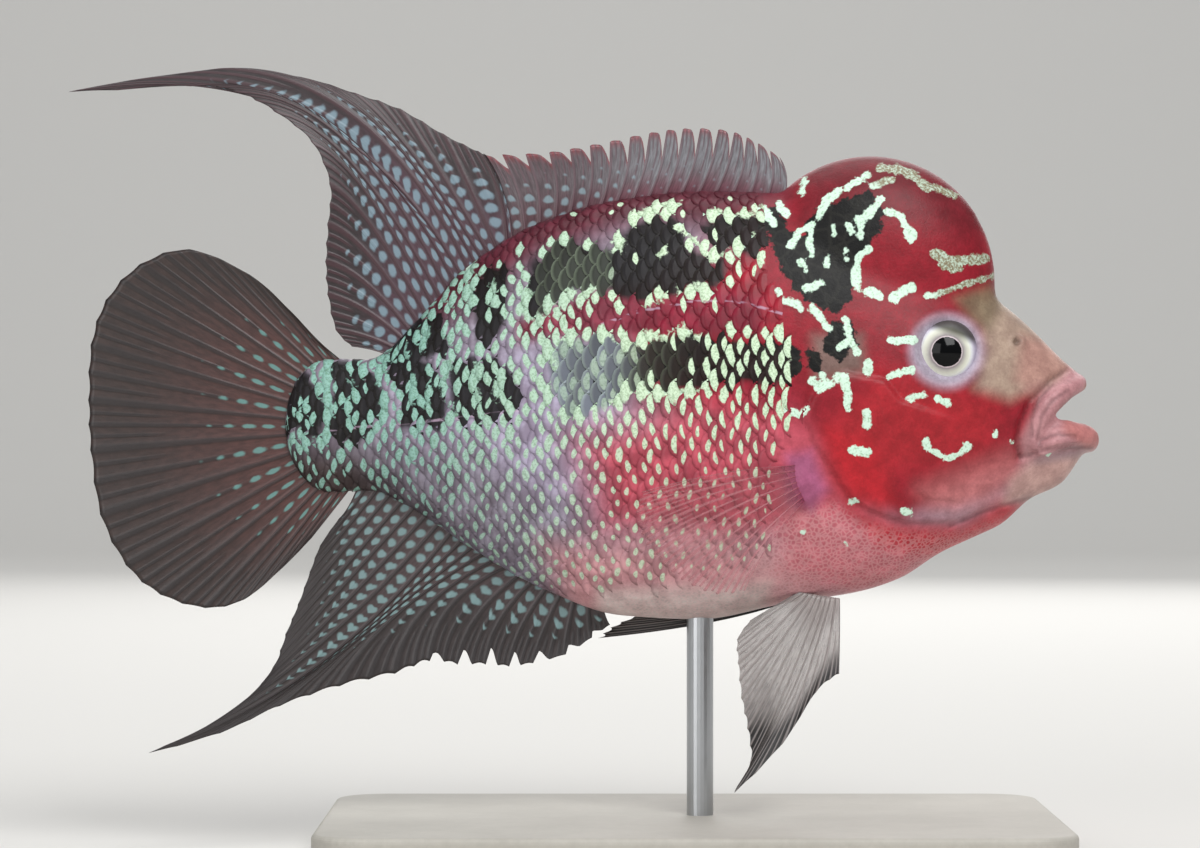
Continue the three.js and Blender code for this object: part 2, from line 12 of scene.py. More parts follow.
import bmesh
import bpy
import numpy as np
from mathutils import Matrix, Vector
from mathutils.bvhtree import BVHTree


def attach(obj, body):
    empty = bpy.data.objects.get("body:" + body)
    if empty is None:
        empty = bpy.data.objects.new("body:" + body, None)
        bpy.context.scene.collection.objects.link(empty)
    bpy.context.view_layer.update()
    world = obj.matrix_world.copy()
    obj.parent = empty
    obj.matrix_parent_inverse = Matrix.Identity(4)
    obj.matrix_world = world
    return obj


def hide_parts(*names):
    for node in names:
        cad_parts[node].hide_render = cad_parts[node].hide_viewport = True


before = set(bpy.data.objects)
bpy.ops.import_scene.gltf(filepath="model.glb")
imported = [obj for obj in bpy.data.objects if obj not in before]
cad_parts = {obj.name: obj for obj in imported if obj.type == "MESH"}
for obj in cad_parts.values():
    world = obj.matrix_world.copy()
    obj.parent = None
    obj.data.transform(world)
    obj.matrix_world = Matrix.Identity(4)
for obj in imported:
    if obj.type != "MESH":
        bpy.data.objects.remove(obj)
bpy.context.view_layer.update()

MM = 0.001
LOG = logging.getLogger("flowerhorn")

Array = np.ndarray
Point = tuple[float, float]
Points = tuple[Point, ...]
Outline = Sequence[float]
Ray = tuple[float, float, float, float]
Object = bpy.types.Object
Mesh = bpy.types.Mesh
BMesh = bmesh.types.BMesh


class Side(Enum):
    """The two sides of the fish, by the sign of y."""

    RIGHT = -1
    LEFT = 1

    @property
    def word(self) -> str:
        """The side's name in piece names."""
        return self.name.lower()


def linear(code: str) -> tuple[float, float, float, float]:
    """Linear colour of a display colour.

    Args:
        code: Six hexadecimal digits after a hash.

    Returns:
        Red, green, blue and alpha of 1.
    """
    parts = [int(code[i:i + 2], 16) / 255 for i in (1, 3, 5)]
    bent = [p / 12.92 if p <= 0.04045 else ((p + 0.055) / 1.055) ** 2.4 for p in parts]
    return (bent[0], bent[1], bent[2], 1.0)


def smoothstep(low: float, high: float, value: Array) -> Array:
    """Smooth rise from 0 at low to 1 at high."""
    t = np.clip((value - low) / (high - low), 0.0, 1.0)
    return t * t * (3 - 2 * t)


def pieces(line: Outline) -> Iterator[tuple[float, float, float, float]]:
    """The straight pieces of a line, each as x and y of its two ends."""
    return zip(line[:-2:2], line[1:-2:2], line[2::2], line[3::2])


def line_distance(px: Array, py: Array, line: Outline) -> Array:
    """Distance from points to a line of straight pieces.

    Args:
        px: Horizontal places of the points.
        py: Vertical places of the points.
        line: x and y of each corner in turn.

    Returns:
        One distance for each point.
    """
    best = np.full(px.shape, 1e9)
    for ax, ay, bx, by in pieces(line):
        run = max((bx - ax) ** 2 + (by - ay) ** 2, 1e-9)
        t = np.clip(((px - ax) * (bx - ax) + (py - ay) * (by - ay)) / run, 0, 1)
        best = np.minimum(best, np.hypot(px - ax - t * (bx - ax), py - ay - t * (by - ay)))
    return best


def point_distance(px: Array, py: Array, point: Point) -> Array:
    """Distance to one point."""
    return np.hypot(px - point[0], py - point[1])


def outline_distance(px: Array, py: Array, outline: Outline) -> Array:
    """Distance to a closed outline, negative inside it.

    Args:
        px: Horizontal places of the points.
        py: Vertical places of the points.
        outline: x and y of each corner in turn, without repeating the first.

    Returns:
        One signed distance for each point.
    """
    ring = [*outline, *outline[:2]]
    inside = np.zeros(px.shape, dtype=bool)
    for ax, ay, bx, by in pieces(ring):
        crosses = (ay > py) != (by > py)
        slope = (bx - ax) / (by - ay) if by != ay else 0.0
        inside ^= crosses & (px < ax + (py - ay) * slope)
    return np.where(inside, -1.0, 1.0) * line_distance(px, py, ring)


def nearest(px: Array, py: Array, outlines: Sequence[Outline]) -> Array:
    """Distance to the nearest of several closed outlines, negative inside one."""
    return np.min([outline_distance(px, py, outline) for outline in outlines], axis=0)


def lay_colour(colours: Array, code: str, share: Array) -> None:
    """Lays a share of a display colour over each linear colour, in place."""
    colours += (np.array(linear(code)) - colours) * share[:, None]


@dataclass(frozen=True)
class PhotoView:
    """The photograph's framing of the fish, seen square from its right side."""

    width: float = 1200.0
    height: float = 848.0
    mm_per_pixel: float = 0.15
    centre_x: float = 2.4
    centre_z: float = 64.6
    distance: float = 600.0

    def pixels(self, points: Array) -> tuple[Array, Array]:
        """Pixels where points of either side would show.

        Args:
            points: Places in millimetres, one row each.

        Returns:
            Horizontal and vertical pixels.
        """
        near = self.distance / (self.distance - np.abs(points[:, 1]))
        px = self.width / 2 + (points[:, 0] - self.centre_x) / self.mm_per_pixel * near
        py = self.height / 2 - (points[:, 2] - self.centre_z) / self.mm_per_pixel * near
        return px, py


VIEW = PhotoView()


@dataclass(frozen=True)
class Wire:
    """A value in a node tree. Arithmetic with it adds Math nodes."""

    sketch: Sketch
    socket: bpy.types.NodeSocket

    def __add__(self, other: Value) -> Wire:
        """The sum of both."""
        return self.sketch.math("ADD", self, other)

    def __sub__(self, other: Value) -> Wire:
        """This less the other."""
        return self.sketch.math("SUBTRACT", self, other)

    def __rsub__(self, other: float) -> Wire:
        """A number less this."""
        return self.sketch.math("SUBTRACT", other, self)

    def __mul__(self, other: Value) -> Wire:
        """The product of both."""
        return self.sketch.math("MULTIPLY", self, other)

    def __truediv__(self, other: Value) -> Wire:
        """This over the other."""
        return self.sketch.math("DIVIDE", self, other)


Value = Wire | float | str | tuple[float, ...] | None
Values = dict[int | str, Value]


class Sketch:
    """Builds the nodes of one material or node group."""

    def __init__(self, tree: bpy.types.NodeTree) -> None:
        """Takes the tree that the nodes go in."""
        self.tree = tree

    def feed(self, node: bpy.types.Node, values: Values) -> None:
        """Feeds sockets of a node.

        Args:
            node: The node.
            values: A wire, a display colour or a plain value for each socket. None leaves a socket alone.
        """
        for key, value in values.items():
            if isinstance(value, Wire):
                self.tree.links.new(value.socket, node.inputs[key])
            elif value is not None:
                node.inputs[key].default_value = linear(value) if isinstance(value, str) else value

    def add(self, kind: str, values: Values, output: int | str = 0, **settings: object) -> Wire:
        """Adds a node and feeds it.

        Args:
            kind: The node's type.
            values: What it takes, by socket.
            output: The socket that it gives.
            settings: Its own properties.

        Returns:
            What it gives.
        """
        made = self.tree.nodes.new(kind)
        for name, setting in settings.items():
            setattr(made, name, setting)
        self.feed(made, values)
        return Wire(self, made.outputs[output])

    def math(self, kind: str, a: Value, b: Value = None, clamp: bool = False) -> Wire:
        """A Math node, whose result may be kept between 0 and 1."""
        return self.add("ShaderNodeMath", {0: a, 1: b}, operation=kind, use_clamp=clamp)

    def length(self, a: Wire, b: Wire) -> Wire:
        """Length of two parts at a right angle."""
        return self.math("SQRT", a * a + b * b)

    def mix(self, amount: Value, a: Value, b: Value, blend: str = "MIX") -> Wire:
        """Mixes two colours by an amount."""
        return self.add("ShaderNodeMix", {0: amount, 6: a, 7: b}, 2, data_type="RGBA", blend_type=blend)

    def tint(self, amount: Value, base: Wire, tint: Value, source: Wire | None = None) -> Wire:
        """Mixes in a colour times a tint. The colour is the base, where no other source is given."""
        return self.mix(amount, base, self.mix(1.0, base if source is None else source, tint, "MULTIPLY"))

    def rise(self, value: Value, low: float, high: float, start: float = 0.0, end: float = 1.0) -> Wire:
        """Smooth step from start, where a value is low, to end, where it is high."""
        return self.add("ShaderNodeMapRange", {0: value, 1: low, 2: high, 3: start, 4: end},
                        interpolation_type="SMOOTHSTEP")

    def noise(self, scale: Value, detail: float = 2.0, rough: float = 0.5, where: Wire | None = None) -> Wire:
        """Soft noise from 0 to 1, at the object's own coordinates where no others are given."""
        taken = {"Vector": self.place() if where is None else where, "Scale": scale, "Detail": detail}
        return self.add("ShaderNodeTexNoise", {**taken, "Roughness": rough}, "Fac")

    def net(self, scale: float) -> Wire:
        """Distance to the edges of small cells."""
        return self.add("ShaderNodeTexVoronoi", {"Vector": self.place(), "Scale": scale}, "Distance",
                        feature="DISTANCE_TO_EDGE")

    def ramp(self, value: Wire, stops: Sequence[tuple[float, str]]) -> Wire:
        """Colour ramp through display colours.

        Args:
            value: The value to read it at.
            stops: Places and display colours.

        Returns:
            The colour.
        """
        shade = self.add("ShaderNodeValToRGB", {0: value})
        band = shade.socket.node.color_ramp
        while len(band.elements) < len(stops):
            band.elements.new(0.5)
        for element, (place, code) in zip(band.elements, stops):
            element.position = place
            element.color = linear(code)
        return shade

    def level(self, name: str) -> Wire:
        """Reads a mesh attribute of one number."""
        return self.add("ShaderNodeAttribute", {}, "Fac", attribute_name=name)

    def colour(self, name: str) -> Wire:
        """Reads a mesh attribute of colour."""
        return self.add("ShaderNodeAttribute", {}, "Color", attribute_name=name)

    def place(self) -> Wire:
        """Object coordinates, in metres."""
        return self.add("ShaderNodeTexCoord", {}, "Object")

    def map_of(self, name: str) -> tuple[Wire, Wire]:
        """The two coordinates of a UV map."""
        first = self.add("ShaderNodeSeparateXYZ", {0: self.add("ShaderNodeUVMap", {}, uv_map=name)})
        return first, Wire(self, first.socket.node.outputs[1])

    def bump(self, height: Wire, strength: float, distance: float) -> Wire:
        """Normal of a height, with its full reach in metres as the distance."""
        return self.add("ShaderNodeBump", {"Height": height, "Strength": strength, "Distance": distance},
                        "Normal")

    def use(self, group: bpy.types.NodeTree, **values: Value) -> dict[str, Wire]:
        """Places a node group.

        Args:
            group: The group.
            values: What it takes, by name.

        Returns:
            What it gives, by name.
        """
        made = self.tree.nodes.new("ShaderNodeGroup")
        made.node_tree = group
        self.feed(made, values)
        return {output.name: Wire(self, output) for output in made.outputs}


@dataclass(frozen=True)
class Edge:
    """A mark's edge: its grain, and how ragged and how soft it is in the photograph's pixels."""

    grain: float = 620.0
    ragged: float = 12.0
    soft: float = 0.9


class Effects:
    """Effects that several finishes share, each built once."""

    def __init__(self) -> None:
        """Builds the groups."""
        self.wet = self._wet_grain()
        self.mark = self._ragged_mark()
        self.rays = self._ray_lines()

    def mask(self, sketch: Sketch, name: str, edge: Edge) -> Wire:
        """Mask of a mark, from the distance to it that a mesh attribute holds."""
        taken = {"Grain": edge.grain, "Ragged": edge.ragged, "Soft": edge.soft}
        return sketch.use(self.mark, Distance=sketch.level(name), **taken)["Mask"]

    @staticmethod
    def _group(name: str, takes: Sequence[str], gives: Sequence[str]) -> tuple[
            Sketch, dict[str, Wire], bpy.types.Node]:
        """A node group that works on numbers.

        Args:
            name: The group's name.
            takes: The names of its inputs.
            gives: The names of its outputs.

        Returns:
            Its sketch, its inputs by name and the node that takes its outputs.
        """
        tree = bpy.data.node_groups.new(name, "ShaderNodeTree")
        for way, labels in (("INPUT", takes), ("OUTPUT", gives)):
            for label in labels:
                tree.interface.new_socket(name=label, in_out=way, socket_type="NodeSocketFloat")
        sketch = Sketch(tree)
        source = tree.nodes.new("NodeGroupInput")
        given = {label: Wire(sketch, source.outputs[label]) for label in takes}
        return sketch, given, tree.nodes.new("NodeGroupOutput")

    def _wet_grain(self) -> bpy.types.NodeTree:
        """Fine grain of wet fish skin: a height, a shade and a roughness.

        Returns:
            The group.
        """
        sketch, given, result = self._group(
            "wet grain", ("Scale", "Roughness"), ("Height", "Shade", "Roughness"))
        coarse = sketch.noise(given["Scale"] * 0.12, 3.0)
        fine = sketch.noise(given["Scale"], 3.0, 0.6)
        sketch.feed(result, {
            "Height": coarse * 0.6 + fine,
            "Shade": coarse * 0.5 + fine * 0.5,
            "Roughness": sketch.math("ADD", given["Roughness"], (fine - 0.5) * 0.2, clamp=True),
        })
        return sketch.tree

    def _ragged_mark(self) -> bpy.types.NodeTree:
        """Turns a distance to a mark's edge into a mask with a ragged edge.

        Returns:
            The group.
        """
        sketch, given, result = self._group("ragged mark", ("Distance", "Grain", "Ragged", "Soft"), ("Mask",))
        push = (sketch.noise(given["Grain"], 3.0, 0.65) - 0.5) * given["Ragged"]
        share = (given["Distance"] + push) / given["Soft"]
        sketch.feed(result, {"Mask": sketch.rise(share, -1.0, 1.0, 1.0, 0.0)})
        return sketch.tree

    def _ray_lines(self) -> bpy.types.NodeTree:
        """Rays of a fin that fork twice on the way to its edge.

        Returns:
            The group.
        """
        sketch, given, result = self._group("ray lines", ("Across", "Along", "Width"), ("Mask",))
        lines = []
        for forks, shown in ((1.0, None), (2.0, (0.35, 0.5)), (4.0, (0.65, 0.8))):
            near = sketch.math("ABSOLUTE", sketch.math("FRACT", given["Across"] * forks) - 0.5)
            line = sketch.rise((0.5 - near) / (given["Width"] * math.sqrt(forks)), 0.4, 1.2, 1.0, 0.0)
            lines.append(line if shown is None else line * sketch.rise(given["Along"], *shown))
        most = lines[0]
        for line in lines[1:]:
            most = sketch.math("MAXIMUM", most, line)
        sketch.feed(result, {"Mask": most})
        return sketch.tree


@dataclass(frozen=True)
class Section:
    """One section of the body, in millimetres."""

    x: float
    back: float
    belly: float
    wide: float
    half: float


@dataclass(frozen=True)
class BodyForm:
    """The body's smooth form from the root of the tail fin to the lips."""

    sections: tuple[Section, ...] = (
        Section(-44.9, 66.4, 62.2, 64.4, 0.9),
        Section(-43.6, 70.3, 58.5, 64.4, 1.9),
        Section(-41.7, 73.0, 55.9, 64.4, 2.5),
        Section(-38.7, 74.4, 54.3, 64.3, 3.1),
        Section(-32.1, 74.3, 54.6, 64.2, 4.0),
        Section(-25.8, 79.3, 51.9, 64.6, 5.8),
        Section(-17.6, 88.1, 46.4, 65.8, 8.3),
        Section(-6.6, 94.8, 40.1, 67.0, 10.9),
        Section(5.4, 98.2, 35.9, 67.4, 12.8),
        Section(17.4, 99.5, 35.3, 67.2, 13.9),
        Section(29.7, 99.2, 37.6, 66.6, 14.2),
        Section(41.4, 96.0, 39.5, 66.0, 14.1),
        Section(47.4, 92.6, 41.5, 66.5, 13.7),
        Section(53.4, 88.9, 45.3, 67.8, 12.7),
        Section(58.6, 85.6, 47.7, 68.2, 11.3),
        Section(62.4, 82.9, 49.5, 68.0, 10.0),
        Section(66.9, 79.0, 53.4, 66.8, 8.5),
        Section(71.4, 74.5, 55.6, 65.6, 7.0),
        Section(74.8, 71.3, 60.2, 65.4, 5.4),
        Section(76.6, 67.4, 62.5, 64.6, 3.6),
        Section(77.4, 64.4, 63.5, 64.0, 1.4),
    )
    hump_centre: Point = (42.9, 86.0)
    hump_radius: float = 18.75
    hump_half: float = 10.2
    hump_power: float = 2.3

    def column(self, key: str, x: Array | float) -> Array:
        """Smooth value of one measure of the sections at x.

        Args:
            key: The measure's name.
            x: Places along the body.

        Returns:
            The values there.
        """
        xs = np.array([s.x for s in self.sections])
        ys = np.array([getattr(s, key) for s in self.sections])
        rises = np.diff(ys) / np.diff(xs)
        slopes = np.empty(len(xs))
        slopes[0], slopes[-1] = rises[0], rises[-1]
        product = rises[:-1] * rises[1:]
        total = np.where(np.abs(rises[:-1] + rises[1:]) < 1e-9, 1e-9, rises[:-1] + rises[1:])
        slopes[1:-1] = np.where(product <= 0, 0.0, 2 * product / total)
        x = np.clip(np.asarray(x, dtype=float), xs[0], xs[-1])
        i = np.clip(np.searchsorted(xs, x, side="right") - 1, 0, len(xs) - 2)
        run = xs[i + 1] - xs[i]
        t = (x - xs[i]) / run
        return (
            (2 * t**3 - 3 * t**2 + 1) * ys[i] + (t**3 - 2 * t**2 + t) * run * slopes[i]
            + (3 * t**2 - 2 * t**3) * ys[i + 1] + (t**3 - t**2) * run * slopes[i + 1]
        )

    def point(self, x: Array, turn: Array) -> Array:
        """Points of the body's surface.

        Args:
            x: Places along the body.
            turn: Angles round it, 0 at the left side and a quarter turn at the back.

        Returns:
            One row of x, y and z for each.
        """
        wide = self.column("wide", x)
        reach = np.where(np.sin(turn) >= 0, self.column("back", x) - wide, wide - self.column("belly", x))
        return np.stack([x, self.column("half", x) * np.cos(turn), wide + reach * np.sin(turn)], axis=1)

    def half_width(self, x: float, z: float) -> float:
        """Half the body's width at a point of its side view.

        Args:
            x: Place along the body.
            z: Height.

        Returns:
            The half width.
        """
        wide = float(self.column("wide", x))
        edge = float(self.column("back" if z > wide else "belly", x))
        share = min(abs((z - wide) / (edge - wide)), 1.0)
        return float(self.column("half", x)) * math.sqrt(1 - share * share)

    def hump_level(self, points: Array) -> Array:
        """How far points are from the hump's middle.

        Args:
            points: One row of x, y and z for each.

        Returns:
            1 for points on the hump's surface, less inside it and more outside.
        """
        dx = (points[:, 0] - self.hump_centre[0]) / self.hump_radius
        dz = (points[:, 2] - self.hump_centre[1]) / self.hump_radius
        dy = np.abs(points[:, 1]) / self.hump_half
        return (np.hypot(dx, dz) ** self.hump_power + dy ** self.hump_power) ** (1 / self.hump_power)


FORM = BodyForm()


@dataclass(frozen=True)
class Layer:
    """One layer of ground colour, in pixels of the photograph's framing."""

    name: str
    colour: str
    outline: Outline
    soft: float
    strength: float = 1.0


@dataclass(frozen=True)
class Markings:
    """The fish's colours and marks, alike on skin and scales.

    Outlines and lines hold x and y of each corner in turn. A pearl mark starts with its half width.
    """

    under: str = "#a097a6"
    layers: tuple[Layer, ...] = (
        Layer("lilac flank", "#b3a9c0", (400, 385, 560, 330, 640, 400, 610, 500, 500, 520, 400, 470), 45),
        Layer("grey rear", "#8d8693", (360, 430, 470, 440, 560, 520, 560, 600, 440, 560, 340, 500), 34),
        Layer("brown stalk", "#423635", (260, 430, 360, 450, 430, 510, 460, 560, 360, 560, 270, 500), 30),
        Layer("dusky back", "#672836", (380, 150, 800, 150, 800, 240, 640, 225, 540, 260, 430, 335, 380, 300),
              24),
        Layer("crimson flank", "#a01c30", (620, 345, 640, 300, 760, 215, 860, 150, 900, 400, 860, 470, 700,
              430, 640, 400), 34),
        Layer("red strip", "#8e2038", (516, 322, 600, 288, 700, 284, 762, 296, 762, 334, 640, 336, 560, 338,
              518, 342), 9, 0.9),
        Layer("salmon flank", "#c85666", (575, 440, 700, 400, 880, 430, 880, 540, 720, 550, 600, 530), 36),
        Layer("pink belly", "#d9a0a5", (545, 545, 700, 535, 820, 550, 850, 640, 570, 640), 26),
        Layer("pale belly", "#d6c6c2", (600, 590, 700, 588, 770, 583, 760, 640, 590, 640), 12),
        Layer("pink breast", "#d0707b", (786, 500, 850, 515, 960, 530, 950, 590, 850, 600, 780, 570), 20),
        Layer("red throat", "#c5323f", (850, 512, 900, 526, 960, 526, 1000, 500, 1040, 500, 1000, 545, 940,
              560, 880, 545), 12),
        Layer("crimson head", "#971b2a", (786, 140, 1010, 140, 1000, 300, 985, 380, 1050, 385, 1040, 450,
              1015, 475, 900, 520, 840, 480, 800, 400, 786, 300), 14),
        Layer("dark crest", "#6c1a24", (800, 120, 1000, 120, 1000, 230, 960, 240, 900, 215, 850, 215, 800,
              220), 26, 0.8),
        Layer("bright cheek", "#b3262f", (825, 430, 880, 370, 1000, 400, 990, 450, 900, 470, 850, 505, 835,
              480), 22, 0.9),
        Layer("gill cover rear", "#c5212c", (828, 430, 870, 440, 895, 500, 880, 514, 850, 500, 832, 460), 14,
              0.8),
        Layer("pink jaw", "#cd7b7c", (922, 490, 960, 474, 1010, 455, 1034, 476, 988, 505, 955, 514, 932, 508),
              22, 0.95),
        Layer("grey temple", "#7f7a70", (812, 335, 862, 335, 866, 372, 815, 380), 10, 0.75),
        Layer("olive snout", "#b39c8a", (975, 300, 1100, 290, 1100, 400, 1040, 385, 1010, 400, 975, 388, 985,
              350), 11),
        Layer("brow", "#83735a", (955, 298, 990, 285, 1006, 300, 990, 330, 970, 320), 9, 0.85),
        Layer("pink snout tip", "#bf8d82", (1022, 335, 1050, 340, 1085, 372, 1060, 380, 1035, 398, 1015, 380),
              10, 0.7),
        Layer("pink lips", "#c48f92", (1040, 398, 1070, 368, 1120, 360, 1120, 450, 1070, 452, 1022, 462, 1020,
              440), 7),
        Layer("lower lip", "#c77f7b", (1066, 412, 1090, 416, 1120, 420, 1120, 450, 1085, 447, 1062, 430), 5,
              0.9),
        Layer("grey chin", "#cfa79f", (1010, 480, 1030, 462, 1110, 448, 1110, 500, 1040, 502, 1004, 502), 9),
        Layer("violet breast", "#a9628c", (786, 455, 812, 450, 828, 490, 812, 512, 790, 500), 9, 0.75),
    )
    eye_centre: Point = (946.5, 351.0)
    eye_ring: str = "#b8b0c0"
    eye_ring_reach: Point = (28.0, 45.0)
    head_black: tuple[Outline, ...] = (
        (850, 196, 868, 190, 884, 208, 882, 228, 868, 248, 856, 268, 852, 296, 836, 314, 812, 304, 795, 290,
         782, 270, 770, 242, 764, 210, 776, 204, 788, 230, 800, 236, 806, 222, 816, 210, 832, 204),
        (832, 318, 852, 322, 858, 345, 840, 360, 822, 352),
        (806, 345, 822, 350, 820, 372, 806, 368),
    )
    body_black: tuple[Outline, ...] = (
        (702, 226, 725, 218, 752, 214, 770, 220, 768, 246, 752, 256, 738, 250, 716, 252),
        (612, 250, 634, 226, 664, 214, 680, 228, 698, 254, 722, 264, 724, 280, 690, 290, 630, 298, 575, 290,
         545, 312, 528, 318, 532, 262, 560, 240, 600, 248),
        (470, 300, 486, 262, 512, 268, 512, 312, 492, 345, 476, 340),
        (385, 362, 402, 322, 442, 316, 446, 350, 418, 362, 446, 372, 442, 428, 404, 424, 398, 378),
        (452, 362, 500, 358, 524, 392, 520, 412, 490, 424, 456, 420),
        (334, 366, 360, 362, 384, 396, 374, 432, 352, 448, 332, 440),
        (296, 372, 318, 380, 326, 412, 318, 434, 288, 434, 286, 400),
        (550, 356, 566, 342, 606, 336, 640, 344, 690, 338, 780, 340, 798, 350, 802, 370, 780, 386, 700, 384,
         640, 390, 612, 404, 572, 412, 556, 396),
    )
    faded: Outline = (
        545, 245, 612, 248, 616, 300, 634, 340, 640, 400, 540, 420, 536, 300)
    body_pearls: tuple[Outline, ...] = (
        (4.6, 705, 216, 720, 213, 735, 216), (4.6, 740, 212, 754, 212), (4.4, 764, 210, 773, 222),
        (3.8, 780, 205, 786, 213), (4.0, 712, 253, 726, 253), (4.0, 735, 250, 746, 241, 752, 232),
        (4.8, 618, 252, 624, 230, 640, 216, 660, 207, 681, 205), (4.2, 678, 226, 690, 237, 706, 250),
        (3.8, 662, 252, 664, 254), (4.8, 648, 303, 662, 297), (4.6, 682, 293, 695, 286),
        (4.6, 706, 293, 718, 288), (4.4, 552, 305, 566, 297, 592, 291), (4.4, 528, 290, 526, 310, 540, 322),
        (4.6, 630, 343, 650, 336, 676, 331, 702, 335), (4.6, 626, 389, 660, 394, 706, 386),
        (4.4, 548, 344, 553, 374, 548, 402), (4.4, 560, 340, 600, 335, 628, 343),
        (4.4, 560, 415, 600, 411, 626, 392), (3.8, 470, 262, 466, 285, 472, 300), (3.8, 492, 282, 496, 300),
        (3.8, 450, 360, 447, 385, 452, 408), (3.8, 478, 366, 474, 384, 480, 402), (3.8, 502, 372, 500, 396),
        (3.8, 404, 340, 408, 352), (3.8, 425, 330, 421, 344), (3.8, 412, 380, 410, 398),
        (3.8, 430, 384, 427, 408), (3.8, 388, 352, 380, 372, 386, 398, 382, 420),
        (3.4, 350, 380, 355, 398, 350, 412), (3.6, 330, 360, 326, 380, 330, 410, 326, 436),
        (3.4, 300, 366, 316, 370), (3.4, 286, 440, 304, 442, 322, 440),
    )
    sparse: tuple[Outline, ...] = (
        (470, 262, 540, 214, 600, 196, 640, 184, 790, 184, 790, 207, 700, 214, 664, 206, 634, 220, 612, 246,
         560, 234, 532, 256, 500, 264),
        (596, 302, 640, 300, 700, 296, 735, 286, 775, 292, 775, 330, 700, 330, 640, 332, 596, 326),
        (672, 206, 700, 214, 704, 246, 690, 236),
        (735, 250, 776, 256, 776, 290, 732, 286),
    )
    dull_marks: tuple[Outline, ...] = (
        (925, 244, 1000, 244, 1000, 274, 925, 276),
        (866, 150, 980, 160, 980, 220, 905, 194, 872, 184),
        (935, 288, 1000, 268, 1000, 286, 940, 300),
    )
    lateral_lines: tuple[Outline, ...] = (
        (800, 320, 790, 316, 760, 307, 730, 300, 690, 302, 665, 307, 640, 311, 600, 325),
        (520, 410, 470, 417, 405, 423, 330, 430),
    )
    head_pearls: tuple[Outline, ...] = (
        (3.6, 887, 210, 900, 217, 908, 228), (6.2, 908, 231, 911, 238), (5.5, 936, 254, 952, 262, 984, 258),
        (5.0, 944, 266, 960, 268), (2.6, 927, 296, 945, 292, 965, 284, 993, 276), (5.4, 870, 292, 879, 296),
        (5.2, 894, 298, 903, 292, 912, 287), (3.6, 869, 249, 858, 258, 856, 272, 857, 288),
        (4.4, 820, 214, 826, 200, 838, 192), (3.6, 848, 188, 858, 180, 868, 176), (3.0, 872, 186, 892, 179),
        (3.4, 805, 180, 802, 192), (4.2, 880, 168, 900, 170, 915, 177, 926, 188), (3.0, 935, 186, 955, 196),
        (4.2, 880, 200, 870, 214, 858, 219), (3.4, 862, 222, 860, 236), (3.4, 812, 226, 800, 232, 790, 246),
        (3.2, 812, 230, 808, 242, 812, 254), (2.8, 833, 226, 834, 234), (2.8, 846, 250, 846, 258),
        (2.6, 828, 256, 827, 266), (3.2, 800, 262, 806, 270), (3.0, 848, 226, 852, 232),
        (3.6, 821, 283, 806, 289), (3.6, 845, 320, 850, 340, 838, 348), (3.4, 850, 340, 857, 354),
        (3.8, 812, 306, 820, 318, 828, 328), (3.4, 890, 340, 914, 340), (6.0, 868, 364, 868, 371),
        (3.6, 890, 376, 912, 370), (4.4, 812, 380, 820, 388, 830, 384),
        (3.8, 836, 378, 846, 377, 847, 394, 848, 408), (3.2, 822, 376, 826, 384), (4.8, 867, 414, 866, 425),
        (4.8, 854, 450, 867, 453), (3.4, 911, 399, 923, 394), (3.6, 938, 399, 949, 403),
        (2.8, 925, 444, 935, 453, 948, 459, 960, 453, 967, 446), (4.4, 926, 442, 928, 446),
        (4.2, 966, 445, 967, 448), (3.6, 994, 434, 994, 435), (1.8, 1011, 441, 1011, 442),
        (2.0, 1049, 453, 1049, 454), (4.2, 905, 512, 909, 512), (3.6, 852, 501, 855, 501),
        (2.4, 845, 543, 846, 543), (2.4, 803, 532, 804, 532), (3.8, 786, 410, 800, 415, 807, 408),
        (3.4, 779, 290, 782, 301, 795, 303, 800, 308),
    )

    def ground(self, px: Array, py: Array) -> Array:
        """Linear ground colour, without black or pearls.

        Args:
            px: Horizontal pixels of the points.
            py: Vertical pixels.

        Returns:
            One colour for each point.
        """
        colours = np.tile(np.array(linear(self.under)), (len(px), 1))
        for layer in self.layers:
            inside = outline_distance(px, py, layer.outline)
            lay_colour(colours, layer.colour, smoothstep(layer.soft, -layer.soft, inside) * layer.strength)
        full, none = self.eye_ring_reach
        lay_colour(colours, self.eye_ring, smoothstep(none, full, point_distance(px, py, self.eye_centre)))
        return colours

    def black_of_head(self, px: Array, py: Array) -> Array:
        """Distance to the head's black patch, negative inside."""
        return nearest(px, py, self.head_black)

    def black_of_body(self, px: Array, py: Array) -> Array:
        """Distance to the nearest black patch of the body, negative inside."""
        return nearest(px, py, self.body_black)

    def black(self, px: Array, py: Array) -> Array:
        """Distance to the nearest black patch of all, negative inside."""
        return np.minimum(self.black_of_body(px, py), self.black_of_head(px, py))

    def pearl_marks(self, px: Array, py: Array) -> Array:
        """Distance to the nearest joined pearl mark, negative inside."""
        marks = (*self.head_pearls, *self.body_pearls)
        return np.min([line_distance(px, py, line) - reach for reach, *line in marks], axis=0)

    def dullness(self, px: Array, py: Array) -> Array:
        """How grey the pearl marks are, from 0 to 1."""
        return smoothstep(5, -5, nearest(px, py, self.dull_marks))

    def lateral(self, px: Array, py: Array) -> Array:
        """Distance to the lateral line."""
        return np.min([line_distance(px, py, line) for line in self.lateral_lines], axis=0)


MARKS = Markings()


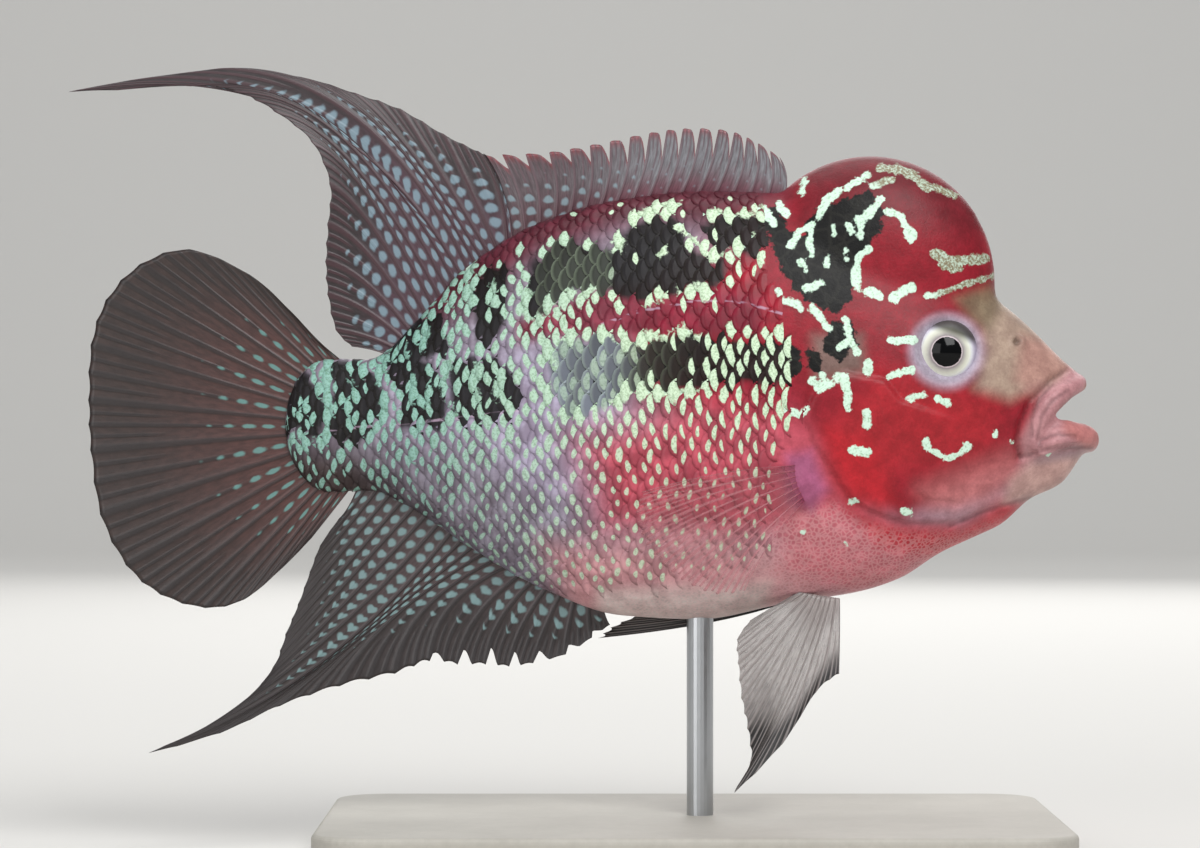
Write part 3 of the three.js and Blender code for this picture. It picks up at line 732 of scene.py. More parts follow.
def mesh_object(name: str, bm: BMesh, smooth: bool = True) -> Object:
    """Makes an object of a bmesh and frees it.

    Args:
        name: The piece's name.
        bm: The mesh, in metres.
        smooth: Shades it smooth.

    Returns:
        The linked object.
    """
    mesh = bpy.data.meshes.new(name)
    bm.to_mesh(mesh)
    bm.free()
    if smooth:
        mesh.shade_smooth()
    made = bpy.data.objects.new(name, mesh)
    bpy.context.scene.collection.objects.link(made)
    return made


def apply_modifiers(target: Object) -> None:
    """Bakes an object's modifiers into its mesh.

    Args:
        target: The object.
    """
    graph = bpy.context.evaluated_depsgraph_get()
    mesh = bpy.data.meshes.new_from_object(target.evaluated_get(graph))
    old = target.data
    target.modifiers.clear()
    target.data = mesh
    mesh.name = target.name
    bpy.data.meshes.remove(old)


def relax(bm: BMesh, verts: Sequence[bmesh.types.BMVert], rounds: int) -> None:
    """Smooths vertices of a mesh as many times as there are rounds."""
    for _ in range(rounds):
        bmesh.ops.smooth_vert(bm, verts=verts, factor=0.5, use_axis_x=True, use_axis_y=True, use_axis_z=True)


def rows_of(mesh: Mesh, key: str) -> Array:
    """One row of three numbers for each vertex of a mesh.

    Args:
        mesh: The mesh.
        key: co for the places in metres, normal for the normals.

    Returns:
        The rows.
    """
    flat = np.empty(len(mesh.vertices) * 3)
    mesh.vertices.foreach_get(key, flat)
    return flat.reshape(-1, 3)


def places(mesh: Mesh) -> Array:
    """Vertex places of a mesh in millimetres."""
    return rows_of(mesh, "co") / MM


def set_places(mesh: Mesh, points: Array) -> None:
    """Moves a mesh's vertices to places in millimetres."""
    mesh.vertices.foreach_set("co", (points * MM).ravel())
    mesh.update()


def store_level(mesh: Mesh, name: str, values: Array) -> None:
    """Stores one number for each vertex."""
    layer = mesh.attributes.new(name, "FLOAT", "POINT")
    layer.data.foreach_set("value", np.asarray(values, dtype=np.float32))


def store_colour(mesh: Mesh, name: str, values: Array) -> None:
    """Stores one colour for each vertex."""
    layer = mesh.attributes.new(name, "FLOAT_COLOR", "POINT")
    layer.data.foreach_set("color", np.asarray(values, dtype=np.float32).ravel())


def store_map(mesh: Mesh, name: str, values: Array) -> None:
    """Stores a UV map from one pair of coordinates for each vertex.

    Args:
        mesh: The mesh.
        name: The map's name.
        values: The pairs.
    """
    corners = np.empty(len(mesh.loops), dtype=int)
    mesh.loops.foreach_get("vertex_index", corners)
    layer = mesh.uv_layers.new(name=name)
    layer.data.foreach_set("uv", values[corners].ravel())


def finish_piece(piece: Object, material: bpy.types.Material, slot: str, *nodes: str) -> None:
    """Dresses a piece and ties it to the frame.

    Args:
        piece: The piece.
        material: Its material.
        slot: The record's material slot; not used.
        nodes: The solids that it stands for.
    """
    piece.data.materials.clear()
    piece.data.materials.append(material)
    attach(piece, "root")
    if nodes:
        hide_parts(*nodes)
    LOG.info("%s: %d faces", piece.name, len(piece.data.polygons))


class Finish(ABC):
    """A look on one Principled shader."""

    title: str

    def build(self, effects: Effects) -> bpy.types.Material:
        """Makes the material.

        Args:
            effects: The shared effects.

        Returns:
            The material.
        """
        material = bpy.data.materials.new(self.title)
        material.use_nodes = True
        sketch = Sketch(material.node_tree)
        shader = next(node for node in sketch.tree.nodes if node.type == "BSDF_PRINCIPLED")
        sketch.feed(shader, self.paint(sketch, effects))
        return material

    @abstractmethod
    def paint(self, sketch: Sketch, effects: Effects) -> Values:
        """Builds the nodes before the shader.

        Args:
            sketch: Builds them.
            effects: The shared effects.

        Returns:
            What the shader takes.
        """


@dataclass(frozen=True)
class SkinFinish(Finish):
    """Wet skin with ragged mint pearls and black patches."""

    title: str = "wet skin"
    pearl: str = "#cfe9d6"
    pearl_shade: str = "#a3c4a6"
    dull: str = "#83785f"
    rim: str = "#e6bcbc"
    blotch: str = "#9c8488"
    pore: str = "#b9aeae"
    black: str = "#0a0908"
    black_net: str = "#201f1b"
    roughness: float = 0.46
    coat: float = 0.1
    grain_scale: float = 2600.0
    blotch_scale: float = 420.0
    rim_scale: float = 1500.0
    net_scale: float = 430.0

    def paint(self, sketch: Sketch, effects: Effects) -> Values:
        """Builds the nodes before the shader.

        Args:
            sketch: Builds them.
            effects: The shared effects.

        Returns:
            What the shader takes.
        """
        grain = sketch.use(effects.wet, Scale=self.grain_scale, Roughness=self.roughness)
        mottle = sketch.noise(self.blotch_scale, 4.0, 0.62)
        ground = sketch.tint(sketch.rise(mottle, 0.35, 0.68, 0.36, 0.0), sketch.colour("ground"), self.blotch)
        ground = sketch.tint(0.5, ground, sketch.ramp(grain["Shade"], ((0.3, self.pore), (0.6, "#ffffff"))))
        rims = sketch.rise(sketch.net(self.rim_scale), 0.0, 0.3, 0.3, 0.0)
        ground = sketch.mix(rims * sketch.level("fine"), ground, self.rim)
        net = sketch.rise(sketch.net(self.net_scale), 0.0, 0.16, 1.0, 0.0)
        black = effects.mask(sketch, "black", Edge(ragged=20.0, soft=1.3))
        pearl = effects.mask(sketch, "pearl", Edge())
        speck = sketch.noise(self.grain_scale, 3.0, 0.6)
        mint = sketch.mix(sketch.rise(speck, 0.3, 0.52), self.pearl_shade, self.pearl)
        mint = sketch.mix(sketch.level("dull") * sketch.rise(speck, 0.62, 0.42, 0.35, 1.0), mint, self.dull)
        marked = sketch.mix(black, ground, sketch.mix(net * 0.75, self.black, self.black_net))
        return {
            "Base Color": sketch.mix(pearl, marked, mint),
            "Roughness": grain["Roughness"],
            "Coat Weight": (1.0 - black) * self.coat,
            "Coat Roughness": 0.3,
            "Specular IOR Level": 0.22,
            "Normal": sketch.bump(grain["Height"] + pearl * 0.5 + mottle * 1.2, 0.4, 0.00014),
        }


@dataclass(frozen=True)
class ScaleFinish(Finish):
    """Overlapping scales, each with an upright pearl near its free edge, and painted shade where they overlap,
    along each free edge and at each root.
    """

    title: str = "pearl scales"
    pearl: str = "#d0e6c8"
    pearl_blue: str = "#8db8ac"
    pearl_speck: str = "#97a988"
    blotch: str = "#97878c"
    edge_tint: str = "#8a7480"
    root_tint: str = "#7d6a70"
    black: tuple[str, str] = ("#0a0908", "#211f1b")
    faded: tuple[str, str] = ("#32382e", "#707b69")
    lilac: tuple[str, str] = ("#747a86", "#a3b0b3")
    line: str = "#c3a9bf"
    roughness: float = 0.44
    coat: float = 0.12

    def paint(self, sketch: Sketch, effects: Effects) -> Values:
        """Builds the nodes before the shader.

        Args:
            sketch: Builds them.
            effects: The shared effects.

        Returns:
            What the shader takes.
        """
        grain = sketch.use(effects.wet, Scale=2600.0, Roughness=self.roughness)
        along, across = sketch.map_of("scale")
        mottle = sketch.noise(260.0, 4.0, 0.6)
        ground = sketch.tint(sketch.rise(mottle, 0.4, 0.66, 0.6, 0.0), sketch.colour("ground"), self.blotch)
        edge = sketch.rise(along, 0.84, 1.0)
        # Painted shade where the scales overlap: each scale is darker along its free edge and at its root,
        # which lies under the scale ahead.
        shaded = sketch.tint(edge * 0.12, ground, self.edge_tint)
        shaded = sketch.tint(sketch.rise(along, 0.62, 0.42) * 0.12, shaded, self.root_tint, ground)
        tile = sketch.mix(edge, *self.black)
        for level, colours in (("fade", self.faded), ("lilac", self.lilac)):
            tile = sketch.mix(sketch.level(level), tile, sketch.mix(edge, *colours))
        tile = sketch.mix(sketch.level("black"), shaded, tile)
        tile = sketch.mix(sketch.rise(sketch.level("lateral"), 0.8, 2.0, 0.55, 0.0), tile, self.line)
        own = self._own_pearl(sketch, along, across)
        shown = sketch.math("MAXIMUM", own, effects.mask(sketch, "pearl", Edge()))
        mint = sketch.mix(sketch.level("pearl_blue"), self.pearl, self.pearl_blue)
        speck = sketch.rise(sketch.noise(3000.0, 3.0, 0.7), 0.56, 0.36, 0.0, 0.6)
        return {
            "Base Color": sketch.mix(shown, tile, sketch.tint(speck, mint, self.pearl_speck)),
            "Roughness": grain["Roughness"],
            "Coat Weight": (1.0 - sketch.level("black")) * self.coat,
            "Coat Roughness": 0.25,
            "Specular IOR Level": 0.22,
            "Normal": sketch.bump(grain["Height"] * 0.6 + shown * 0.5, 0.3, 0.0001),
        }

    def _own_pearl(self, sketch: Sketch, along: Wire, across: Wire) -> Wire:
        """Mask of each scale's own pearl.

        Args:
            sketch: Builds the material's nodes.
            along: Way from the scale's root to its free edge.
            across: Way across the scale.

        Returns:
            1 inside the pearl and 0 outside.
        """
        offset = along - across * sketch.level("pearl_lean") - sketch.level("pearl_at")
        reach = sketch.length(offset / sketch.level("pearl_long"), across / sketch.level("pearl_tall"))
        ragged = sketch.noise(1500.0, 3.0, 0.65) - 0.5
        return sketch.rise(reach + ragged, 0.82, 1.06, 1.0, 0.0) * sketch.level("pearl_show")


@dataclass(frozen=True)
class FinFinish(Finish):
    """A fin's membrane with forking rays and pale spots between them."""

    title: str
    ray: str
    spot: str
    streak: str = "#8c8080"
    ray_width: float = 0.12
    spot_pitch: float = 2.4
    spot_size: Point = (0.3, 0.32)
    roughness: float = 0.42
    clear: float = 1.0

    def paint(self, sketch: Sketch, effects: Effects) -> Values:
        """Builds the nodes before the shader.

        Args:
            sketch: Builds them.
            effects: The shared effects.

        Returns:
            What the shader takes.
        """
        across, along = sketch.map_of("fin")
        grain = sketch.use(effects.wet, Scale=2200.0, Roughness=self.roughness)
        share = sketch.level("share")
        rays = sketch.use(effects.rays, Across=across, Along=share, Width=self.ray_width)["Mask"]
        way = sketch.add("ShaderNodeCombineXYZ", {0: across * 9.0, 1: along * 0.5})
        streaks = sketch.rise(sketch.noise(1.0, 3.0, where=way), 0.3, 0.7, 0.0, 0.55)
        lined = sketch.mix(rays * 0.7, sketch.tint(streaks, sketch.colour("ground"), self.streak), self.ray)
        shift = sketch.math("FRACT", sketch.math("FLOOR", across) * 0.4377)
        step = along / self.spot_pitch + shift
        aside = (sketch.math("FRACT", across) - 0.5) / self.spot_size[0]
        ahead = (sketch.math("FRACT", step) - 0.5) / self.spot_size[1]
        reach = sketch.length(aside, ahead) + (sketch.noise(900.0) - 0.5) * 0.7
        size = sketch.level("spots")
        shown = sketch.rise(reach - size, -0.38, 0.22, 1.0, 0.0) * sketch.rise(size, 0.0, 0.4)
        values: Values = {
            "Base Color": sketch.mix(shown * 0.76, lined, self.spot),
            "Roughness": grain["Roughness"],
            "Coat Weight": 0.15,
            "Coat Roughness": 0.2,
            "Normal": sketch.bump(rays * 0.8 + grain["Height"] * 0.4, 0.45, 0.00016),
        }
        if self.clear < 1:
            values["Alpha"] = sketch.math("ADD", rays * self.clear, sketch.level("cover"), clamp=True)
        return values


@dataclass(frozen=True)
class EyeFinish(Finish):
    """Black pupil in a silver iris under a glossy cornea, with a painted shadow of the lid over the top of the
    iris.
    """

    title: str = "eye"
    iris: tuple[tuple[float, str], ...] = (
        (0.0, "#020203"), (0.415, "#030304"), (0.43, "#d8c9cc"), (0.47, "#8f8688"), (0.53, "#b4b0aa"),
        (0.62, "#d3d3c4"), (0.72, "#e8eadd"), (0.8, "#e2e3e6"), (0.9, "#c6c0d0"), (1.0, "#a59db0"))
    upper_shade: str = "#2f2c1e"

    def paint(self, sketch: Sketch, effects: Effects) -> Values:
        """Builds the nodes before the shader.

        Args:
            sketch: Builds them.
            effects: The shared effects; not used here.

        Returns:
            What the shader takes.
        """
        reach, _ = sketch.map_of("eye")
        band = sketch.ramp(reach + (sketch.noise(2200.0, 3.0) - 0.5) * 0.04, self.iris)
        # Painted lid shadow: the iris is darkened where the eyeball's height is high.
        high = sketch.rise(sketch.level("height"), 0.4, 0.7, 0.0, 0.9)
        return {
            "Base Color": sketch.mix(high * sketch.rise(reach, 0.43, 0.5), band, self.upper_shade),
            "Roughness": sketch.rise(reach, 0.4, 0.45, 0.1, 0.3),
            "Specular IOR Level": 0.18,
            "Coat Weight": 0.03,
            "Coat Roughness": 0.03,
        }


@dataclass(frozen=True)
class StandFinish(Finish):
    """Plain matter with a fine grain."""

    title: str
    shades: tuple[tuple[float, str], ...]
    grain: float
    roughness: float
    metallic: float = 0.0
    relief: float = 0.0

    def paint(self, sketch: Sketch, effects: Effects) -> Values:
        """Builds the nodes before the shader.

        Args:
            sketch: Builds them.
            effects: The shared effects.

        Returns:
            What the shader takes.
        """
        grain = sketch.use(effects.wet, Scale=self.grain, Roughness=self.roughness)
        return {
            "Base Color": sketch.ramp(grain["Shade"], self.shades),
            "Roughness": grain["Roughness"],
            "Metallic": self.metallic,
            "Normal": sketch.bump(grain["Height"], self.relief, 0.0001) if self.relief else None,
        }


@dataclass(frozen=True)
class PaperFinish(Finish):
    """The studio's plain paper."""

    title: str = "backdrop paper"
    colour: str = "#d3d1cd"

    def paint(self, sketch: Sketch, effects: Effects) -> Values:
        """Plain values, with no node before the shader."""
        return {"Base Color": self.colour, "Roughness": 0.9}


def spline(points: Sequence[Point], u: Array | float) -> Array:
    """Points of a smooth curve, where whole numbers are the given points.

    Args:
        points: The points in order.
        u: The places along them.

    Returns:
        The two coordinates of each, in the last axis.
    """
    known = np.array(points, dtype=float)
    last = len(known) - 1
    u = np.asarray(u, dtype=float)
    i = np.clip(u.astype(int), 0, last - 1)
    t = (u - i)[..., None]
    a, b, c, d = (known[np.clip(i + k, 0, last)] for k in (-1, 0, 1, 2))
    return 0.5 * (2 * b + (c - a) * t + (2 * a - 5 * b + 4 * c - d) * t**2 + (3 * b - a - 3 * c + d) * t**3)


@dataclass
class Lip:
    """One lip, a soft tube along the edge of the mouth."""

    side_line: Points
    radius: float
    corner: float = 8.0
    flat: float = 0.85
    end_radius: float = 0.45
    sections: int = 48
    round_points: int = 20
    step: float = 0.004

    def build(self, bm: BMesh) -> None:
        """Adds the lip to a mesh in millimetres.

        Args:
            bm: The mesh.
        """
        grid = bmesh.ops.create_grid(bm, x_segments=self.sections, y_segments=self.round_points, size=0.5)
        for vert in grid["verts"]:
            t, turn = vert.co.x + 0.5, (vert.co.y + 0.5) * 2 * math.pi
            centre, tangent = self._centre(t)
            out = Vector((0, 0, 1)).cross(tangent).normalized()
            up = tangent.cross(out).normalized()
            full = min(1.0, math.sin(math.pi * min(max(t, 0.0), 1.0)) * 2.2)
            radius = self.radius * (self.end_radius + (1 - self.end_radius) * full)
            if t in (0.0, 1.0):
                radius *= 0.02
            vert.co = centre + out * (radius * math.cos(turn) * self.flat) + up * (radius * math.sin(turn))

    def _centre(self, t: float) -> tuple[Vector, Vector]:
        """Middle and direction of the lip at a share of its way round."""
        ahead, behind = self._point(min(t + self.step, 1.0)), self._point(max(t - self.step, 0.0))
        return self._point(t), (ahead - behind).normalized()

    def _point(self, t: float) -> Vector:
        """Point of the lip's middle line.

        Args:
            t: Share of the way from the right corner of the mouth to the left one.

        Returns:
            The point in millimetres.
        """
        rear, front = self.side_line[0][0], self.side_line[-1][0]
        turn = math.pi * (t - 0.5)
        x, z = spline(self.side_line, math.cos(turn) * (len(self.side_line) - 1))
        share = min(max((x - rear) / (front - rear), 0.0), 1.0)
        return Vector((x, math.copysign(self.corner * math.sqrt(1 - share * share), turn), z))


@dataclass
class Skin:
    """The one skin over head, hump, jaws, gill covers, trunk and tail.

    The gape and the lips are in millimetres, all other lines in the photograph's pixels. A fold starts with
    its depth.
    """

    sections: int = 120
    ring: int = 96
    voxel: float = 0.455
    gape: Points = (
        (69.3, 65.2), (69.8, 66.0), (72.0, 68.0), (76.5, 72.0), (84.0, 76.0), (84.0, 59.6), (77.4, 62.4),
        (75.6, 63.6), (73.6, 64.7), (72.0, 65.2), (70.2, 65.2))
    gape_half: float = 40.0
    pocket_centre: tuple[float, float, float] = (69.5, 0.0, 65.6)
    pocket_size: tuple[float, float, float] = (7.5, 4.4, 2.4)
    lips: tuple[Lip, ...] = (
        Lip(((66.4, 60.8), (66.8, 63.4), (68.0, 66.1), (70.7, 68.9), (74.3, 70.7)), 1.3),
        Lip(((66.6, 60.2), (69.0, 61.7), (71.6, 62.9), (74.0, 62.8), (75.6, 62.2)), 1.95),
    )
    crease_rounds: tuple[tuple[float, int], ...] = ((0.16, 14), (0.09, 16))
    gill_line: Outline = (
        843, 372, 815, 393, 804, 418, 814, 442, 828, 462, 840, 482, 852, 498, 870, 510, 905, 521, 940, 522,
        965, 516, 985, 502, 985, 430, 900, 400, 885, 380)
    preopercle: Outline = (
        872, 392, 882, 420, 892, 450, 903, 480, 925, 500, 960, 504)
    folds: tuple[Outline, ...] = (
        (0.5, 1066, 370, 1048, 382, 1030, 400, 1019, 424, 1016, 444, 1020, 458),
        (0.35, 1052, 384, 1040, 398, 1032, 418, 1032, 436),
        (0.4, 1020, 458, 1045, 450, 1072, 447, 1092, 448),
        (0.3, 1040, 440, 1058, 434, 1076, 436),
        (0.22, 1068, 390, 1052, 401, 1042, 416, 1038, 434, 1040, 448),
        (0.3, 950, 526, 978, 514, 1000, 506, 1030, 498),
    )
    nostril: Point = (1017, 342)
    pectoral_root: Point = (806, 484)
    pectoral_reach: Point = (19, 30)
    breast: Outline = (
        776, 520, 835, 505, 862, 524, 905, 534, 960, 534, 1000, 520, 1010, 545, 960, 620, 770, 660, 560, 660,
        560, 604, 690, 580, 745, 566)
    mouth_window: Outline = (
        1038, 400, 1060, 385, 1100, 385, 1100, 432, 1060, 432, 1040, 428)
    mouth_inside: str = "#b3766a"

    def build(self) -> Object:
        """Makes the skin's mesh with its attributes.

        Returns:
            The skin.
        """
        skin = mesh_object("skin", self._body())
        self._cut_mouth(skin)
        extra = mesh_object("skin extra", self._lips_and_hump())
        joined = bmesh.new()
        for part in (skin, extra):
            joined.from_mesh(part.data)
        joined.to_mesh(skin.data)
        joined.free()
        bpy.data.objects.remove(extra)
        remesh = skin.modifiers.new("one skin", "REMESH")
        remesh.mode = "VOXEL"
        remesh.voxel_size = self.voxel * MM
        apply_modifiers(skin)
        self._soften(skin.data)
        self._sculpt(skin.data)
        self._mark(skin.data)
        skin.data.shade_smooth()
        return skin

    def _body(self) -> BMesh:
        """The plain body as a closed tube.

        Returns:
            The mesh in metres.
        """
        bm = bmesh.new()
        bmesh.ops.create_grid(bm, x_segments=self.sections, y_segments=self.ring, size=0.5)
        first, last = FORM.sections[0].x, FORM.sections[-1].x
        share = np.array([v.co.x + 0.5 for v in bm.verts])
        turn = np.array([v.co.y + 0.5 for v in bm.verts]) * 2 * math.pi
        x = first + (last - first) * (share - 0.07 * np.sin(2 * math.pi * share))
        points = FORM.point(x, turn)
        ends = (share < 1e-6) | (share > 1 - 1e-6)
        points[ends, 1] = 0.0
        points[ends, 2] = FORM.column("wide", x)[ends]
        for vert, point in zip(bm.verts, points):
            vert.co = Vector(point) * MM
        bmesh.ops.remove_doubles(bm, verts=bm.verts, dist=0.00001)
        bmesh.ops.recalc_face_normals(bm, faces=bm.faces)
        return bm

    def _cut_mouth(self, skin: Object) -> None:
        """Opens the mouth with a wedge and a pocket behind it.

        Args:
            skin: The skin to cut.
        """
        bm = bmesh.new()
        face = bm.faces.new([bm.verts.new(Vector((x, -self.gape_half, z)) * MM) for x, z in self.gape])
        pushed = bmesh.ops.extrude_face_region(bm, geom=[face])
        moved = [item for item in pushed["geom"] if isinstance(item, bmesh.types.BMVert)]
        bmesh.ops.translate(bm, verts=moved, vec=Vector((0, 2 * self.gape_half, 0)) * MM)
        bmesh.ops.recalc_face_normals(bm, faces=bm.faces)
        round_mesh = bmesh.new()
        bmesh.ops.create_uvsphere(round_mesh, u_segments=24, v_segments=16, radius=MM)
        bmesh.ops.scale(round_mesh, verts=round_mesh.verts, vec=self.pocket_size)
        bmesh.ops.translate(round_mesh, verts=round_mesh.verts, vec=Vector(self.pocket_centre) * MM)
        tools = (mesh_object("gape", bm), mesh_object("pocket", round_mesh))
        for tool in tools:
            cut = skin.modifiers.new("mouth", "BOOLEAN")
            cut.operation = "DIFFERENCE"
            cut.object = tool
            cut.solver = "EXACT"
        apply_modifiers(skin)
        for tool in tools:
            bpy.data.objects.remove(tool)

    def _lips_and_hump(self) -> BMesh:
        """Lips and hump as closed forms that the skin takes in.

        Returns:
            The mesh in metres.
        """
        bm = bmesh.new()
        for lip in self.lips:
            lip.build(bm)
        bmesh.ops.remove_doubles(bm, verts=bm.verts, dist=0.002)
        bmesh.ops.scale(bm, verts=bm.verts, vec=(MM, MM, MM))
        made = bmesh.ops.create_uvsphere(bm, u_segments=64, v_segments=48, radius=1.0)
        power = FORM.hump_power
        for vert in made["verts"]:
            x, y, z = vert.co
            fuller = (math.hypot(x, z) ** power + abs(y) ** power) ** (-1 / power)
            vert.co = Vector((
                FORM.hump_centre[0] + x * fuller * FORM.hump_radius,
                y * fuller * FORM.hump_half,
                FORM.hump_centre[1] + z * fuller * FORM.hump_radius,
            )) * MM
        bmesh.ops.recalc_face_normals(bm, faces=bm.faces)
        return bm

    def _soften(self, mesh: Mesh) -> None:
        """Smooths the skin, most where the hump rises from the head.

        Args:
            mesh: The skin's mesh.
        """
        bm = bmesh.new()
        bm.from_mesh(mesh)
        relax(bm, bm.verts, 4)
        points = np.array([v.co for v in bm.verts]) / MM
        level = FORM.hump_level(points)
        bm.verts.ensure_lookup_table()
        for reach, rounds in self.crease_rounds:
            crease = (np.abs(level - 1.03) < reach) & (points[:, 2] < 96) & (points[:, 2] > 76)
            relax(bm, [bm.verts[i] for i in np.nonzero(crease)[0]], rounds)
        bm.to_mesh(mesh)
        bm.free()
        mesh.update()

    def _sculpt(self, mesh: Mesh) -> None:
        """Raises the gill cover and the eye's rim and sinks folds and nostrils.

        Args:
            mesh: The skin's mesh.
        """
        points, out = places(mesh), rows_of(mesh, "normal")
        px, py = VIEW.pixels(points)
        gill = outline_distance(px, py, self.gill_line)
        front = smoothstep(990, 880, px)
        lift = 0.5 * smoothstep(1.5, -2.0, gill) * smoothstep(-70, -10, gill) * front
        lift -= 0.25 * smoothstep(9, 2, gill) * smoothstep(0.0, 2.0, gill) * front
        lift -= 0.22 * smoothstep(4.5, 0.5, line_distance(px, py, self.preopercle))
        away = [(p - c) / r for p, c, r in zip((px, py), self.pectoral_root, self.pectoral_reach)]
        lift += 0.8 * smoothstep(1.0, 0.15, np.hypot(*away))
        eye = point_distance(px, py, MARKS.eye_centre)
        lift += 0.3 * smoothstep(46, 36, eye) * smoothstep(29, 35, eye) - 0.75 * smoothstep(33, 24, eye)
        nostril = point_distance(px, py, self.nostril)
        lift += 0.25 * smoothstep(9, 6, nostril) * smoothstep(3, 5, nostril) - 0.6 * smoothstep(5, 1.5, nostril)
        for depth, *fold in self.folds:
            lift -= depth * smoothstep(5, 0.5, line_distance(px, py, fold))
        sideways = smoothstep(0.25, 0.6, np.abs(out[:, 1]))
        set_places(mesh, points + out * (lift * sideways)[:, None])

    def _mark(self, mesh: Mesh) -> None:
        """Stores the ground colour, with painted shade along the folds and round the nostril, and the distances
        to the marks.

        Args:
            mesh: The skin's mesh.
        """
        points = places(mesh)
        px, py = VIEW.pixels(points)
        ground = MARKS.ground(px, py)
        # Painted shade: the ground is darkened along the folds and round the nostril's pit.
        crease = np.min([line_distance(px, py, fold) for _, *fold in self.folds], axis=0)
        ground[:, :3] *= 1 - 0.36 * smoothstep(3.0, 0.4, crease)[:, None]
        ground[:, :3] *= 1 - 0.4 * smoothstep(5.5, 2.5, point_distance(px, py, self.nostril))[:, None]
        inner = smoothstep(1.2, 2.4, FORM.column("half", points[:, 0]) - np.abs(points[:, 1]) - 0.4)
        inner *= (points[:, 0] > 62) & (outline_distance(px, py, self.mouth_window) < 0)
        lay_colour(ground, self.mouth_inside, inner)
        store_colour(mesh, "ground", ground)
        bare = outline_distance(px, py, ScaleCoat.front_line)
        body = np.maximum(MARKS.black_of_body(px, py), bare + 4)
        store_level(mesh, "black", np.minimum(MARKS.black_of_head(px, py), body))
        store_level(mesh, "pearl", MARKS.pearl_marks(px, py))
        store_level(mesh, "dull", MARKS.dullness(px, py))
        store_level(mesh, "fine", smoothstep(10, -10, outline_distance(px, py, self.breast)))


